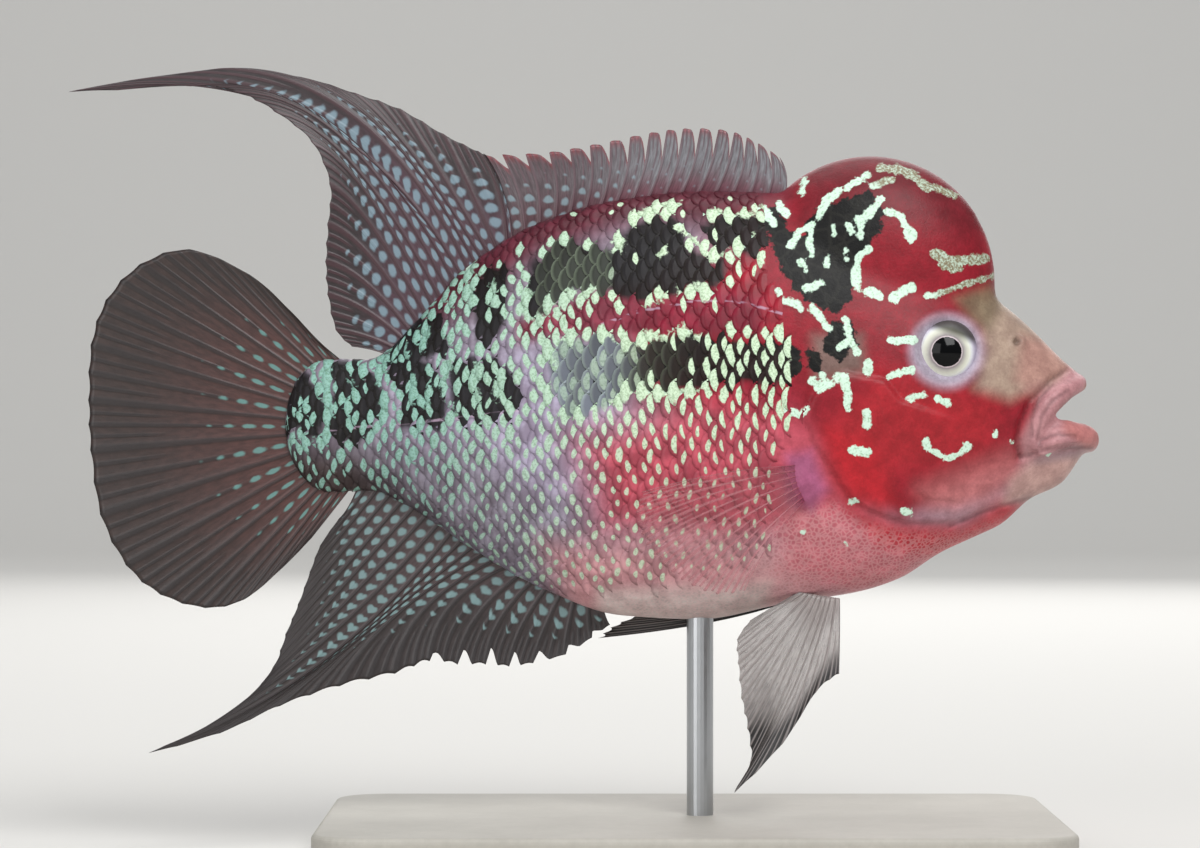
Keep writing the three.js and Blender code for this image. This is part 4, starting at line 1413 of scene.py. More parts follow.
@dataclass
class ScaleCoat:
    """Overlapping scales on one flank, as one mesh."""

    side: Side
    pitch_front: float = 2.5
    pitch_rear: float = 2.1
    row_mid: float = 3.75
    row_rear: float = 2.7
    length: float = 2.05
    half_height: float = 2.08
    columns: int = 5
    rows: int = 6
    thickness: float = 0.1
    lift_free: float = 0.19
    lift_root: float = -0.3
    bake_patch: float = 0.003
    samples: int = 200
    seed: int = 7
    front_line: ClassVar[Outline] = (
        792, 100, 784, 160, 776, 205, 778, 262, 794, 308, 803, 345, 806, 380, 799, 414, 800, 444, 790, 466,
        784, 500, 784, 530, 776, 556, 745, 572, 690, 584, 610, 594, 562, 604, 545, 700, -200, 700, -200, 100)
    front_end: float = 52.0
    rear_end: float = -44.3

    def build(self, skin: Object) -> Object:
        """Makes the scales of this side over the skin.

        Args:
            skin: The skin to lie on.

        Returns:
            The scales.
        """
        dice = np.random.default_rng(self.seed)
        centre, rearward, upward, spot = self._lattice()
        count = len(centre)
        bm = bmesh.new()
        bmesh.ops.create_grid(bm, x_segments=self.columns, y_segments=self.rows, size=0.5)
        coat = mesh_object(f"scales_{self.side.word}", bm)
        repeat = coat.modifiers.new("scales", "ARRAY")
        repeat.count = count
        repeat.use_relative_offset = False
        repeat.use_constant_offset = True
        repeat.constant_offset_displace = (0, 0, 1)
        apply_modifiers(coat)
        plan = rows_of(coat.data, "co")
        owner = np.rint(plan[:, 2]).astype(int)
        a, b = plan[:, 0] + 0.5, plan[:, 1] * 2
        store_map(coat.data, "scale", np.stack([a, b], axis=1))
        store_map(coat.data, "OFBake", spot[owner] + np.stack([a - 0.5, b / 2], axis=1) * self.bake_patch)
        size = dice.uniform(0.94, 1.06, count)[owner]
        self._lay(coat.data, skin, centre[owner], rearward[owner], upward[owner], a, b, size)
        self._dress(coat.data, centre + rearward, owner, dice)
        solidify = coat.modifiers.new("thickness", "SOLIDIFY")
        solidify.thickness = self.thickness * MM
        solidify.offset = -1.0
        apply_modifiers(coat)
        coat.data.shade_smooth()
        return coat

    def _lattice(self) -> tuple[Array, Array, Array, Array]:
        """Lays out the scales, column by column from the front.

        Returns:
            Their centres, the ways rearward and upward and their places in the bake map.
        """
        parts = []
        x, column = self.front_end, 0
        turns = np.linspace(-math.pi / 2 + 0.02, math.pi / 2 - 0.02, self.samples)
        bake_row = 0.25 if self.side is Side.RIGHT else 0.5
        while x > self.rear_end:
            share = (x - self.rear_end) / (self.front_end - self.rear_end)
            row = self.row_rear + (self.row_mid - self.row_rear) * min(1.0, share * 1.7)
            line = FORM.point(np.full(self.samples, x), turns)
            steps = np.concatenate([[0], np.cumsum(np.linalg.norm(np.diff(line, axis=0), axis=1))])
            middle = float(np.interp(0.0, turns, steps))
            reach = int(steps[-1] / row) + 2
            place = middle + (np.arange(-reach, reach) + (0.5 if column % 2 else 0.0)) * row
            place = place[(place > 0.4) & (place < steps[-1] - 0.4)]
            turn = np.interp(place, steps, turns)
            here, behind = self._points(x, turn), self._points(x - 1.0, turn)
            rise = self._points(x, turn + 0.03) - self._points(x, turn - 0.03)
            bake_column = np.full(len(turn), 0.1 + 0.8 * (x + 45) / 100)
            spot = np.stack([bake_column, bake_row + 0.225 * (turn / math.pi + 0.5)], axis=1)
            parts.append((here, behind - here, rise, spot))
            x -= (self.pitch_rear + (self.pitch_front - self.pitch_rear) * share) / 2
            column += 1
        centre, rearward, upward, spot = (np.concatenate([part[k] for part in parts]) for k in range(4))
        px, py = VIEW.pixels(centre)
        ragged = np.random.default_rng(self.seed + 1).uniform(-9, 5, len(px))
        kept = outline_distance(px, py, self.front_line) < -3 + ragged
        rearward, upward = (way / np.linalg.norm(way, axis=1)[:, None] for way in (rearward, upward))
        return centre[kept], rearward[kept], upward[kept], spot[kept]

    def _points(self, x: float, turn: Array) -> Array:
        """Points of the body's form on this side."""
        return FORM.point(np.full(len(turn), x), turn) * (1, self.side.value, 1)

    def _lay(self, mesh: Mesh, skin: Object, centre: Array, rearward: Array, upward: Array,
             a: Array, b: Array, size: Array) -> None:
        """Lays every scale over the skin, root in it and free edge clear of it.

        Args:
            mesh: The scales.
            skin: The skin to lie on.
            centre: Each point's scale's middle in millimetres.
            rearward: The way to its free edge.
            upward: The way across it.
            a: Share of the way from root to free edge.
            b: Place across, from -1 to 1.
            size: The scale's own size.
        """
        tree = BVHTree.FromObject(skin, bpy.context.evaluated_depsgraph_get())
        round_end = np.sqrt(np.maximum(0.0, 1 - (b * 0.97) ** 2))
        reach = (-0.9 + a * (1.15 + 0.75 * round_end)) * self.length * size
        width = b * self.half_height * size * (0.9 + 0.1 * a)
        flat = (centre + rearward * reach[:, None] + upward * width[:, None]) * MM
        px, py = VIEW.pixels(centre)
        bold = smoothstep(-3, -26, outline_distance(px, py, self.front_line)) * 0.35 + 0.65
        free = self.lift_free * bold * (1 - 0.2 * smoothstep(430, 530, py))
        lift = (self.lift_root + (free - self.lift_root) * a**0.8 - 0.1 * b * b * a) * MM
        laid = [tree.find_nearest(Vector(point)) for point in flat]
        points = np.array([hit[0] for hit in laid]) + np.array([hit[1] for hit in laid]) * lift[:, None]
        set_places(mesh, points / MM)
        if self.side is Side.RIGHT:
            mesh.flip_normals()

    def _dress(self, mesh: Mesh, tips: Array, owner: Array, dice: np.random.Generator) -> None:
        """Stores each scale's ground, black and pearl.

        Args:
            mesh: The scales.
            tips: A place near each scale's free edge, in millimetres.
            owner: Each vertex's scale.
            dice: The random numbers, drawn in a fixed order.
        """
        px, py = VIEW.pixels(places(mesh))
        store_colour(mesh, "ground", MARKS.ground(px, py))
        store_level(mesh, "lateral", MARKS.lateral(px, py))
        x, y = VIEW.pixels(tips)
        near_x, near_y = 0.45 * px + 0.55 * x[owner], 0.45 * py + 0.55 * y[owner]
        count = len(x)
        luck = dice.random(count)
        joined = dice.uniform(-2.2, 2.2, count) + 5.0 * (dice.random(count) < 0.1)
        store_level(mesh, "pearl", MARKS.pearl_marks(near_x, near_y) + joined[owner])
        shift = dice.uniform(-3.5, 3.5, count)
        store_level(mesh, "black", 0.97 * smoothstep(1.6, -1.6, MARKS.black(near_x, near_y) + shift[owner]))
        where = self._regions(x, y, MARKS.black(x, y) + shift, luck)
        long, tall = self._pearl_size(x, y, where)
        rear, low = smoothstep(600, 480, x), smoothstep(400, 500, y)
        centre = smoothstep(712, 640, x) * (x > 600) * (y > 320)
        lilac = smoothstep(650, 600, x) * smoothstep(320, 335, y) * (x > 535)
        size = dice.uniform(0.72, 1.18, count) * (1 + rear * dice.uniform(-0.25, 0.3, count))
        dimmed = np.where(where["faded"] & where["dark"], 0.5, 1.0) * (1 - 0.18 * low)
        values = {
            "fade": np.where(where["faded"], 1.0, 0.6 * centre) * dice.uniform(0.35, 1.0, count),
            "lilac": lilac * dice.uniform(0.35, 0.95, count),
            "pearl_long": long * size,
            "pearl_tall": tall * size * dice.uniform(0.85, 1.12, count),
            "pearl_show": self._pearl_shown(x, y, where, luck) * dimmed,
            "pearl_blue": np.clip((640 - x) / 220, 0, 1),
            "pearl_at": dice.uniform(0.66, 0.82, count) + 0.09 * where["border"],
            "pearl_lean": dice.uniform(-0.14, 0.16, count) * (1 + rear),
        }
        for name, numbers in values.items():
            store_level(mesh, name, numbers[owner])

    def _regions(self, x: Array, y: Array, black: Array, luck: Array) -> dict[str, Array]:
        """Sorts the scales by where they lie.

        Args:
            x: Horizontal pixels of the scales.
            y: Vertical pixels.
            black: Distance to the nearest black patch, negative inside.
            luck: A random number from 0 to 1 for each.

        Returns:
            For each region, whether each scale lies in it.
        """
        dark = black < 0
        return {
            "dark": dark,
            "near": ~dark & (black < 10) & (luck < 0.8),
            "band": dark & (x > 700) & (y > 320),
            "streaked": dark & (x < 530),
            "pale": dark & (x > 535) & (x < 640) & (y > 328),
            "sparse": nearest(x, y, MARKS.sparse) < 0,
            "faded": outline_distance(x, y, MARKS.faded) < 0,
            "border": outline_distance(x, y, self.front_line) > -16,
        }

    @staticmethod
    def _pearl_size(x: Array, y: Array, where: dict[str, Array]) -> tuple[Array, Array]:
        """Size of each scale's pearl, as shares of the scale.

        Args:
            x: Horizontal pixels of the scales.
            y: Vertical pixels.
            where: The scales by region.

        Returns:
            Half its length and half its height.
        """
        low, rear = smoothstep(400, 500, y), smoothstep(600, 480, x)
        long = 0.145 - 0.035 * smoothstep(600, 700, x) - 0.035 * low + 0.04 * rear * (1 - low)
        tall = 0.72 - 0.38 * low + 0.12 * rear - 0.35 * smoothstep(230, 205, y)
        for region, size in (("near", (0.21, 0.66)), ("band", (0.145, 0.9)), ("streaked", (0.16, 0.72))):
            long[where[region]], tall[where[region]] = size
        return long, tall

    @staticmethod
    def _pearl_shown(x: Array, y: Array, where: dict[str, Array], luck: Array) -> Array:
        """Which scales show a pearl of their own.

        Args:
            x: Horizontal pixels of the scales.
            y: Vertical pixels.
            where: The scales by region.
            luck: A random number from 0 to 1 for each.

        Returns:
            1 for each scale that shows one and 0 for the others.
        """
        dark, near, band = where["dark"], where["near"], where["band"]
        chance = np.where(dark, 0.1, 0.9)
        for region, share in (("pale", 0.55), ("band", 1.0), ("streaked", 0.42)):
            chance[where[region]] = share
        for region, share in (
            (y > 588, 0.35),
            ((y < 212) & ~near, 0.45),
            ((x > 640) & (y < 300), 0.75),
            (where["sparse"] & ~dark, 0.16),
            (where["border"] & ~band, 0.5),
            ((x > 790) & (y > 440), 0.25),
            ((x > 760) & (y > 540), 0.4),
        ):
            chance = np.where(region, np.minimum(chance, share), chance)
        return (luck < chance).astype(float)


@dataclass
class Eye:
    """One eyeball with its clear front, in millimetres."""

    side: Side
    x: float = 53.3
    z: float = 75.2
    radius: float = 5.2
    proud: float = 1.3
    cornea: float = 0.035
    iris_end: float = 1.55

    def build(self) -> Object:
        """Makes the eyeball with its pole outwards.

        Returns:
            The eyeball.
        """
        bm = bmesh.new()
        bmesh.ops.create_uvsphere(bm, u_segments=64, v_segments=48, radius=1.0)
        pole = np.array([vert.co.z for vert in bm.verts])
        reach = np.arccos(np.clip(pole, -1.0, 1.0)) / (math.pi / 2)
        for vert in bm.verts:
            vert.co = vert.co * (1.0 + self.cornea * max(0.0, vert.co.z) ** 8)
        turn = Matrix.Rotation(-self.side.value * math.pi / 2, 4, "X")
        bmesh.ops.transform(bm, matrix=turn, verts=bm.verts)
        # How high each point of the eyeball sits, leaning to the front; the eye's finish paints a lid shadow
        # where it is high.
        height = np.array([vert.co.z + 0.35 * vert.co.x for vert in bm.verts])
        depth = FORM.half_width(self.x, self.z) + self.proud - self.radius
        centre = Vector((self.x, self.side.value * depth, self.z))
        for vert in bm.verts:
            vert.co = (vert.co * self.radius + centre) * MM
        eye = mesh_object(f"eyeball_{self.side.word}", bm)
        ring = np.minimum(reach * self.iris_end, 1.0)
        store_map(eye.data, "eye", np.stack([ring, np.full(len(ring), 0.5)], axis=1))
        store_level(eye.data, "height", height)
        return eye


Line = Callable[[Array], Array]


@dataclass
class Fin:
    """A fin as a thin closed sheet with forking rays, in millimetres.

    Its lines give a point for each place across the rays, where whole numbers are the rays.
    """

    name: str
    span: int
    root: Line
    bend: Line
    tip: Line
    sway: Callable[[Array, Array], Array]
    reach: Line = np.ones_like
    per_ray: int = 16
    rows: int = 36
    root_thickness: float = 0.9
    edge_thickness: float = 0.28
    ridge: float = 0.2
    fork_notch: float = 0.02
    forks: tuple[tuple[int, float], ...] = ((1, -1.0), (2, 0.4), (4, 0.7))
    u: Array = field(init=False, repr=False)
    v: Array = field(init=False, repr=False)

    def build(self) -> Object:
        """Makes the sheet with its map and its share along the rays.

        Returns:
            The fin.
        """
        bm = bmesh.new()
        across = self.span * self.per_ray
        for height in (0.0, 1.0):
            made = bmesh.ops.create_grid(bm, x_segments=across, y_segments=self.rows, size=0.5)
            bmesh.ops.translate(bm, verts=made["verts"], vec=(0, 0, height))
        bmesh.ops.bridge_loops(bm, edges=[edge for edge in bm.edges if edge.is_boundary])
        bmesh.ops.recalc_face_normals(bm, faces=bm.faces)
        fin = mesh_object(self.name, bm)
        plan = rows_of(fin.data, "co")
        self.u, self.v = (plan[:, 0] + 0.5) * self.span, plan[:, 1] + 0.5
        set_places(fin.data, self._places(self.u, self.v, plan[:, 2] * 2 - 1))
        check = bmesh.new()
        check.from_mesh(fin.data)
        if check.calc_volume(signed=True) < 0:
            bmesh.ops.reverse_faces(check, faces=check.faces)
        check.to_mesh(fin.data)
        check.free()
        length = np.linalg.norm(self.tip(self.u) - self.root(self.u), axis=1)
        store_map(fin.data, "fin", np.stack([self.u, self.v * length], axis=1))
        store_level(fin.data, "share", self.v)
        fin.data.shade_smooth()
        return fin

    def _places(self, u: Array, v: Array, face_side: Array) -> Array:
        """Points of the sheet's faces.

        Args:
            u: Place across the rays, whole at each ray.
            v: Share along the ray.
            face_side: Which face, -1 or 1.

        Returns:
            One row of x, y and z for each.
        """
        notch = 1 - self.fork_notch * np.abs(np.sin(math.pi * u * 2))
        end = (v * self.reach(u) * notch)[:, None]
        flat = (1 - end) ** 2 * self.root(u) + 2 * end * (1 - end) * self.bend(u) + end**2 * self.tip(u)
        ridge = np.zeros(len(u))
        for times, start in self.forks:
            near = np.abs((u * times) % 1.0 - 0.5) * 2
            shows = np.clip((v - start) / 0.15, 0.0, 1.0)
            ridge = np.maximum(ridge, shows * np.maximum(0.0, near - 0.6) / 0.4 / math.sqrt(times))
        thick = self.root_thickness + (self.edge_thickness - self.root_thickness) * np.minimum(1.0, v * 1.3)
        y = self.sway(u, end[:, 0]) + face_side * (thick / 2 + self.ridge * ridge * (1 - 0.7 * v))
        return np.stack([flat[:, 0], y, flat[:, 1]], axis=1)


def dress_fin(fin: Object, colours: Array, spots: Array, cover: Array | None = None) -> None:
    """Stores a fin's ground colour, its spots and its cover.

    Args:
        fin: The fin.
        colours: Linear colour at each vertex.
        spots: Size of the spots at each vertex.
        cover: Opacity of the membrane at each vertex, if it is clear.
    """
    store_colour(fin.data, "ground", colours)
    store_level(fin.data, "spots", spots)
    if cover is not None:
        store_level(fin.data, "cover", cover)


def blend_colours(amount: Array, low: str, high: str) -> Array:
    """Linear colours between two display colours."""
    a, b = np.array(linear(low)), np.array(linear(high))
    return a + (b - a) * amount[:, None]


@dataclass(frozen=True)
class Lamp:
    """One square light, in metres and watts."""

    name: str
    place: tuple[float, float, float]
    size: float
    power: float
    target: tuple[float, float, float] = (0.0, 0.0, 0.065)


@dataclass
class Studio:
    """Floor, backdrop, lights and camera, in metres."""

    effects: Effects
    half_width: float = 3.5
    front: float = -2.4
    bend_start: float = 1.4
    bend_radius: float = 0.8
    top: float = 3.0
    sensor: float = 36.0
    sky: str = "#dfe3e8"
    sky_strength: float = 0.4
    lamps: tuple[Lamp, ...] = (
        Lamp("key", (0.3, -0.7, 0.75), 0.55, 7.4),
        Lamp("fill", (-0.6, -0.75, 0.3), 0.7, 3.6),
        Lamp("top", (0.0, 0.15, 1.0), 0.8, 2.8),
        Lamp("rear", (0.15, 0.85, 0.5), 0.7, 2.6),
        Lamp("wall", (0.0, 0.5, 1.5), 1.4, 15.0, (0.0, 2.2, 0.7)),
    )

    def build(self) -> None:
        """Sets up everything round the object."""
        self._backdrop()
        self._camera()
        self._lights()
        bpy.context.scene.view_settings.view_transform = "Standard"

    def _backdrop(self) -> None:
        """One pale sheet that curves up behind the object."""
        bm = bmesh.new()
        profile = [(self.front, 0.0), (self.bend_start, 0.0)]
        for turn in np.linspace(0.1, math.pi / 2, 14):
            profile.append((self.bend_start + self.bend_radius * math.sin(turn),
                            self.bend_radius * (1 - math.cos(turn))))
        profile.append((self.bend_start + self.bend_radius, self.top))
        verts = [bm.verts.new((-self.half_width, y, z)) for y, z in profile]
        edges = [bm.edges.new(pair) for pair in zip(verts[:-1], verts[1:])]
        made = bmesh.ops.extrude_edge_only(bm, edges=edges)
        moved = [item for item in made["geom"] if isinstance(item, bmesh.types.BMVert)]
        bmesh.ops.translate(bm, verts=moved, vec=(2 * self.half_width, 0, 0))
        sheet = mesh_object("backdrop", bm)
        sheet.data.materials.append(PaperFinish().build(self.effects))

    def _camera(self) -> None:
        """The photograph's framing, square to the fish's right side."""
        data = bpy.data.cameras.new("camera")
        data.sensor_width = self.sensor
        data.lens = self.sensor * VIEW.distance / (VIEW.width * VIEW.mm_per_pixel)
        data.clip_start = 0.05
        data.clip_end = 20.0
        camera = bpy.data.objects.new("camera", data)
        camera.location = Vector((VIEW.centre_x, -VIEW.distance, VIEW.centre_z)) * MM
        camera.rotation_euler = (math.pi / 2, 0, 0)
        bpy.context.scene.collection.objects.link(camera)
        bpy.context.scene.camera = camera

    def _lights(self) -> None:
        """Soft lights and a dim sky."""
        world = bpy.data.worlds.new("studio")
        world.use_nodes = True
        shade = next(node for node in world.node_tree.nodes if node.type == "BACKGROUND")
        shade.inputs[0].default_value = linear(self.sky)
        shade.inputs[1].default_value = self.sky_strength
        bpy.context.scene.world = world
        for lamp in self.lamps:
            data = bpy.data.lights.new(lamp.name, "AREA")
            data.size = lamp.size
            data.energy = lamp.power
            light = bpy.data.objects.new(lamp.name, data)
            light.location = lamp.place
            aim = Vector(lamp.target) - Vector(lamp.place)
            light.rotation_euler = aim.to_track_quat("-Z", "Y").to_euler()
            bpy.context.scene.collection.objects.link(light)


@dataclass
class Fish:
    """The whole fish, in millimetres. A ray is x and z of its bend and of its tip."""

    effects: Effects
    spiny_tips: Points = (
        (29.2, 104.8), (25.9, 107.0), (21.9, 108.7), (15.9, 109.1), (9.9, 108.5), (2.4, 106.9), (-5.8, 105.5),
        (-15.3, 105.2))
    soft_rays: tuple[Ray, ...] = (
        (-11.5, 99.3, -15.9, 105.6), (-17.9, 101.9, -21.1, 108.2), (-22.4, 104.2, -27.6, 112.0),
        (-26.1, 107.9, -34.4, 114.4), (-28.4, 112.4, -42.6, 116.8), (-31.4, 117.7, -54.6, 118.1),
        (-36.6, 121.5, -77.4, 114.5), (-35.9, 119.0, -59.1, 115.3), (-35.1, 114.7, -52.4, 114.4),
        (-35.1, 109.5, -46.4, 111.4), (-33.6, 104.2, -40.8, 106.8), (-32.9, 98.2, -38.1, 100.5),
        (-32.9, 93.0, -38.4, 94.5), (-32.9, 87.7, -38.7, 88.9), (-32.4, 82.5, -38.4, 84.0),
        (-32.1, 78.0, -37.2, 78.7), (-31.0, 75.8, -34.8, 76.2),
    )
    anal_rays: tuple[Ray, ...] = (
        (3.2, 35.4, 3.9, 34.5), (0.6, 34.6, 1.2, 32.6), (-2.7, 33.4, -2.7, 30.1), (-6.3, 33.6, -7.6, 28.8),
        (-10.2, 34.4, -11.2, 28.3), (-14.0, 35.8, -14.7, 28.6), (-17.6, 36.6, -18.9, 28.6),
        (-22.4, 38.9, -23.1, 29.1), (-26.9, 38.2, -28.3, 27.2), (-31.4, 35.9, -36.6, 25.3),
        (-34.4, 32.2, -45.6, 22.3), (-36.6, 28.5, -54.6, 18.2), (-38.9, 23.6, -65.4, 15.2),
        (-38.9, 29.2, -58.0, 18.5), (-38.9, 33.7, -50.9, 23.2), (-38.1, 38.2, -46.8, 28.0),
        (-37.4, 41.2, -44.9, 33.0), (-37.2, 44.2, -43.0, 37.5), (-36.8, 47.2, -41.2, 42.4),
        (-36.0, 49.5, -39.6, 46.4), (-35.0, 52.0, -36.8, 50.4),
    )
    caudal_tips: Points = (
        (-39.9, 77.1), (-44.1, 81.7), (-50.1, 87.0), (-59.1, 90.8), (-66.6, 88.6), (-71.8, 83.2), (-74.1, 76.5),
        (-74.5, 68.2), (-74.2, 60.7), (-72.7, 51.0), (-68.8, 43.4), (-63.6, 39.0), (-56.8, 37.0), (-50.9, 38.3),
        (-45.1, 43.1), (-40.8, 47.5))
    pelvic_right: tuple[Ray, ...] = (
        (38.1, 32.9, 37.8, 27.6), (36.6, 30.7, 34.4, 24.9), (33.2, 26.2, 29.4, 17.2),
        (31.7, 23.2, 22.3, 10.0), (30.2, 24.7, 24.6, 14.4), (29.1, 27.7, 24.2, 19.5),
        (28.2, 30.7, 23.3, 24.0), (27.9, 33.4, 22.8, 29.2), (27.6, 36.4, 22.7, 32.7),
        (28.7, 37.9, 24.6, 35.5),
    )
    pelvic_left: tuple[Ray, ...] = (
        (22.4, 34.2, 2.1, 32.2), (21.5, 35.4, 4.0, 33.8), (21.0, 36.6, 7.5, 35.4), (21.0, 37.6, 12.5, 36.8),
    )
    pectoral: tuple[Ray, ...] = (
        (20.0, 58.2, 8.4, 54.7), (19.6, 56.4, 7.6, 51.8), (19.6, 54.6, 8.4, 48.6), (20.6, 52.8, 10.2, 45.6),
        (21.6, 51.0, 12.8, 43.0), (22.9, 49.4, 15.8, 41.0), (24.4, 48.2, 19.4, 39.8),
        (26.4, 47.4, 23.4, 40.2),
    )

    def build(self) -> None:
        """Makes every piece of the fish."""
        skin = Skin().build()
        finish_piece(skin, SkinFinish().build(self.effects), "scaled_skin", "head", "nuchal_hump", "upper_jaw",
                     "lower_jaw", "gill_cover_right", "gill_cover_left", "trunk", "tail_stalk")
        scales = ScaleFinish().build(self.effects)
        for side in Side:
            finish_piece(ScaleCoat(side).build(skin), scales, "scaled_skin")
        eyes = EyeFinish().build(self.effects)
        for side in Side:
            finish_piece(Eye(side).build(), eyes, "eye", f"eye_{side.word}")
        self._dorsal_spines()
        self._dorsal_sail()
        self._anal_sail()
        self._tail_fan()
        self._pectorals()
        self._pelvics()

    @staticmethod
    def _along(key: str, front: float, rear: float, span: int, sink: float) -> Line:
        """Root line on the back or the belly, sunk into the body.

        Args:
            key: Which edge of the body.
            front: x of the first ray.
            rear: x of the last ray.
            span: Number of the last ray.
            sink: How far it is moved up.

        Returns:
            The line.
        """
        def line(u: Array) -> Array:
            """Points of the line."""
            x = front + (rear - front) * u / span
            return np.stack([x, FORM.column(key, x) + sink], axis=1)
        return line

    @staticmethod
    def _between(front: Point, rear: Point, span: int) -> Line:
        """Straight root line between two points."""
        a, b = np.array(front), np.array(rear)
        return lambda u: a + (b - a) * (u / span)[:, None]

    @staticmethod
    def _column(rays: Sequence[Ray], index: int) -> Line:
        """Smooth line through the bends, index 0, or the tips, index 1, of the rays."""
        known = [ray[2 * index:2 * index + 2] for ray in rays]
        return lambda u: spline(known, u)

    def _sail(self, fin: Fin, finish: FinFinish, node: str, colours: tuple[str, str], turn: Point,
              spots: tuple[float, float, float]) -> None:
        """Makes one of the large soft fins.

        Args:
            fin: The fin.
            finish: Its look.
            node: The solid that it stands for.
            colours: Display colours near the root and near the edge.
            turn: Shares of the ray between which the one becomes the other.
            spots: Size of the spots, and the shares of the ray with none and with full ones.
        """
        piece = fin.build()
        size, bare, full = spots
        ground = blend_colours(smoothstep(*turn, fin.v), *colours)
        dress_fin(piece, ground, size * smoothstep(bare, full, fin.v))
        finish_piece(piece, finish.build(self.effects), "fin_membrane", node)

    def _dorsal_spines(self) -> None:
        """The front of the dorsal fin, with a lobe behind each spine."""
        spines = 17
        place = self._along("back", 29.7, -10.8, spines, -2.0)

        def closer(u: Array) -> Array:
            """Places on the back, closer together to the rear."""
            return u * (1.18 - 0.18 * u / spines)

        def root(u: Array) -> Array:
            """Points of the root line."""
            return place(closer(u))

        def tip(u: Array) -> Array:
            """Points of the line through the spines' tips."""
            return spline(self.spiny_tips, closer(u) / spines * (len(self.spiny_tips) - 1))

        def lobes(u: Array) -> Array:
            """Reach of the membrane, cut in before each spine.

            Args:
                u: Places across the rays.

            Returns:
                1 where it reaches the line of the tips.
            """
            behind = np.clip(u - np.floor(u - 1e-6), 0.0, 1.0)
            depth = 0.36 - 0.24 * smoothstep(9.0, 14.0, u)
            return 1 - depth * smoothstep(0.5, 0.0, behind) - 0.08 * (1 - behind) - 0.03 * behind**10

        fin = Fin("dorsal_spines", spines, root, lambda u: (root(u) + tip(u)) / 2 + np.array([2.0, 1.0]), tip,
                  lambda u, v: 0.5 * v * np.sin(u * 0.8), reach=lobes, per_ray=12, rows=24, fork_notch=0.0)
        piece = fin.build()
        rear = smoothstep(7.0, 15.0, fin.u)
        colours = blend_colours(smoothstep(0.15, 0.6, fin.v), "#6b3644", "#808085")
        lay_colour(colours, "#4c3338", rear * 0.75)
        lay_colour(colours, "#8c333c", smoothstep(0.86, 1.0, fin.v) * 0.8)
        dress_fin(piece, colours, (0.25 + 0.7 * rear) * smoothstep(0.85, 0.4, fin.v))
        finish = FinFinish("lobed membrane", "#5f474e", "#8298a0", ray_width=0.08, spot_pitch=2.1)
        finish_piece(piece, finish.build(self.effects), "fin_membrane", "dorsal_fin_spiny")

    def _dorsal_sail(self) -> None:
        """The long sail behind the spines, which starts with a ray among them."""
        rays = ((-10.9, 99.3, -14.9, 105.2), *self.soft_rays)
        span = len(rays) - 1
        fin = Fin("dorsal_sail", span, self._along("back", -10.4, -28.6, span, -2.0), self._column(rays, 0),
                  self._column(rays, 1), lambda u, v: 1.6 * v * v * np.sin(u * 0.35), per_ray=12, rows=44)
        finish = FinFinish("dorsal membrane", "#43262c", "#7e97a3", spot_pitch=2.1, spot_size=(0.27, 0.36))
        self._sail(fin, finish, "dorsal_fin_soft", ("#4f343f", "#2e2426"), (0.1, 0.75), (1.02, 0.92, 0.5))

    def _anal_sail(self) -> None:
        """The anal fin, with small lobes at its front."""
        span = len(self.anal_rays) - 1

        def lobes(u: Array) -> Array:
            """Reach of the membrane, cut in behind the front rays."""
            behind = u - np.floor(u + 1e-6)
            return 1 - 0.17 * smoothstep(0.45, 0.95, behind) * smoothstep(8.0, 5.0, u)

        fin = Fin("anal_sail", span, self._along("belly", 2.6, -33.5, span, 2.0),
                  self._column(self.anal_rays, 0), self._column(self.anal_rays, 1),
                  lambda u, v: -1.4 * v * v * np.sin(u * 0.3), reach=lobes, per_ray=12, rows=44)
        finish = FinFinish("anal membrane", "#1d1718", "#7b9a9b", spot_pitch=2.0, spot_size=(0.3, 0.34))
        self._sail(fin, finish, "anal_fin", ("#4a3b3c", "#2e2423"), (0.05, 0.7), (0.95, 0.8, 0.4))

    def _tail_fan(self) -> None:
        """The round tail fin."""
        span = len(self.caudal_tips) - 1

        def root(u: Array) -> Array:
            """Points of the root line, bowed to the rear."""
            share = u / span
            return np.stack([-34.5 - 2.5 * np.sin(math.pi * share), 72.6 - 17.0 * share], axis=1)

        def tip(u: Array) -> Array:
            """Points of the round edge."""
            return spline(self.caudal_tips, u)

        fin = Fin("tail_fan", span, root, lambda u: (root(u) + tip(u)) / 2, tip,
                  lambda u, v: -1.2 * v * v * np.cos(u * 0.4), rows=48, fork_notch=0.007)
        finish = FinFinish("tail membrane", "#171112", "#63948f", ray_width=0.1, spot_pitch=3.0,
                           spot_size=(0.12, 0.4))
        self._sail(fin, finish, "caudal_fin", ("#52302c", "#33231f"), (0.2, 0.9), (0.95, 0.66, 0.3))

    def _pectorals(self) -> None:
        """The two nearly clear pectoral fins."""
        clear = FinFinish("clear fin", "#a5525c", "#b9a7a7", ray_width=0.1, clear=0.4).build(self.effects)
        span = len(self.pectoral) - 1
        for side in Side:
            fin = Fin(f"pectoral_{side.word}", span, self._between((32.0, 58.6), (32.6, 53.4), span),
                      self._column(self.pectoral, 0), self._column(self.pectoral, 1),
                      lambda u, v, s=side.value: s * (12.2 + 5.2 * np.sqrt(v) + 0.5 * v),
                      root_thickness=0.8, edge_thickness=0.16, ridge=0.1)
            piece = fin.build()
            dress_fin(piece, blend_colours(smoothstep(0.0, 0.4, fin.v), "#a04560", "#c99a9c"),
                      np.zeros(len(fin.v)), 0.04 + 0.5 * smoothstep(0.22, 0.0, fin.v))
            finish_piece(piece, clear, "clear_fin", f"pectoral_fin_{side.word}")

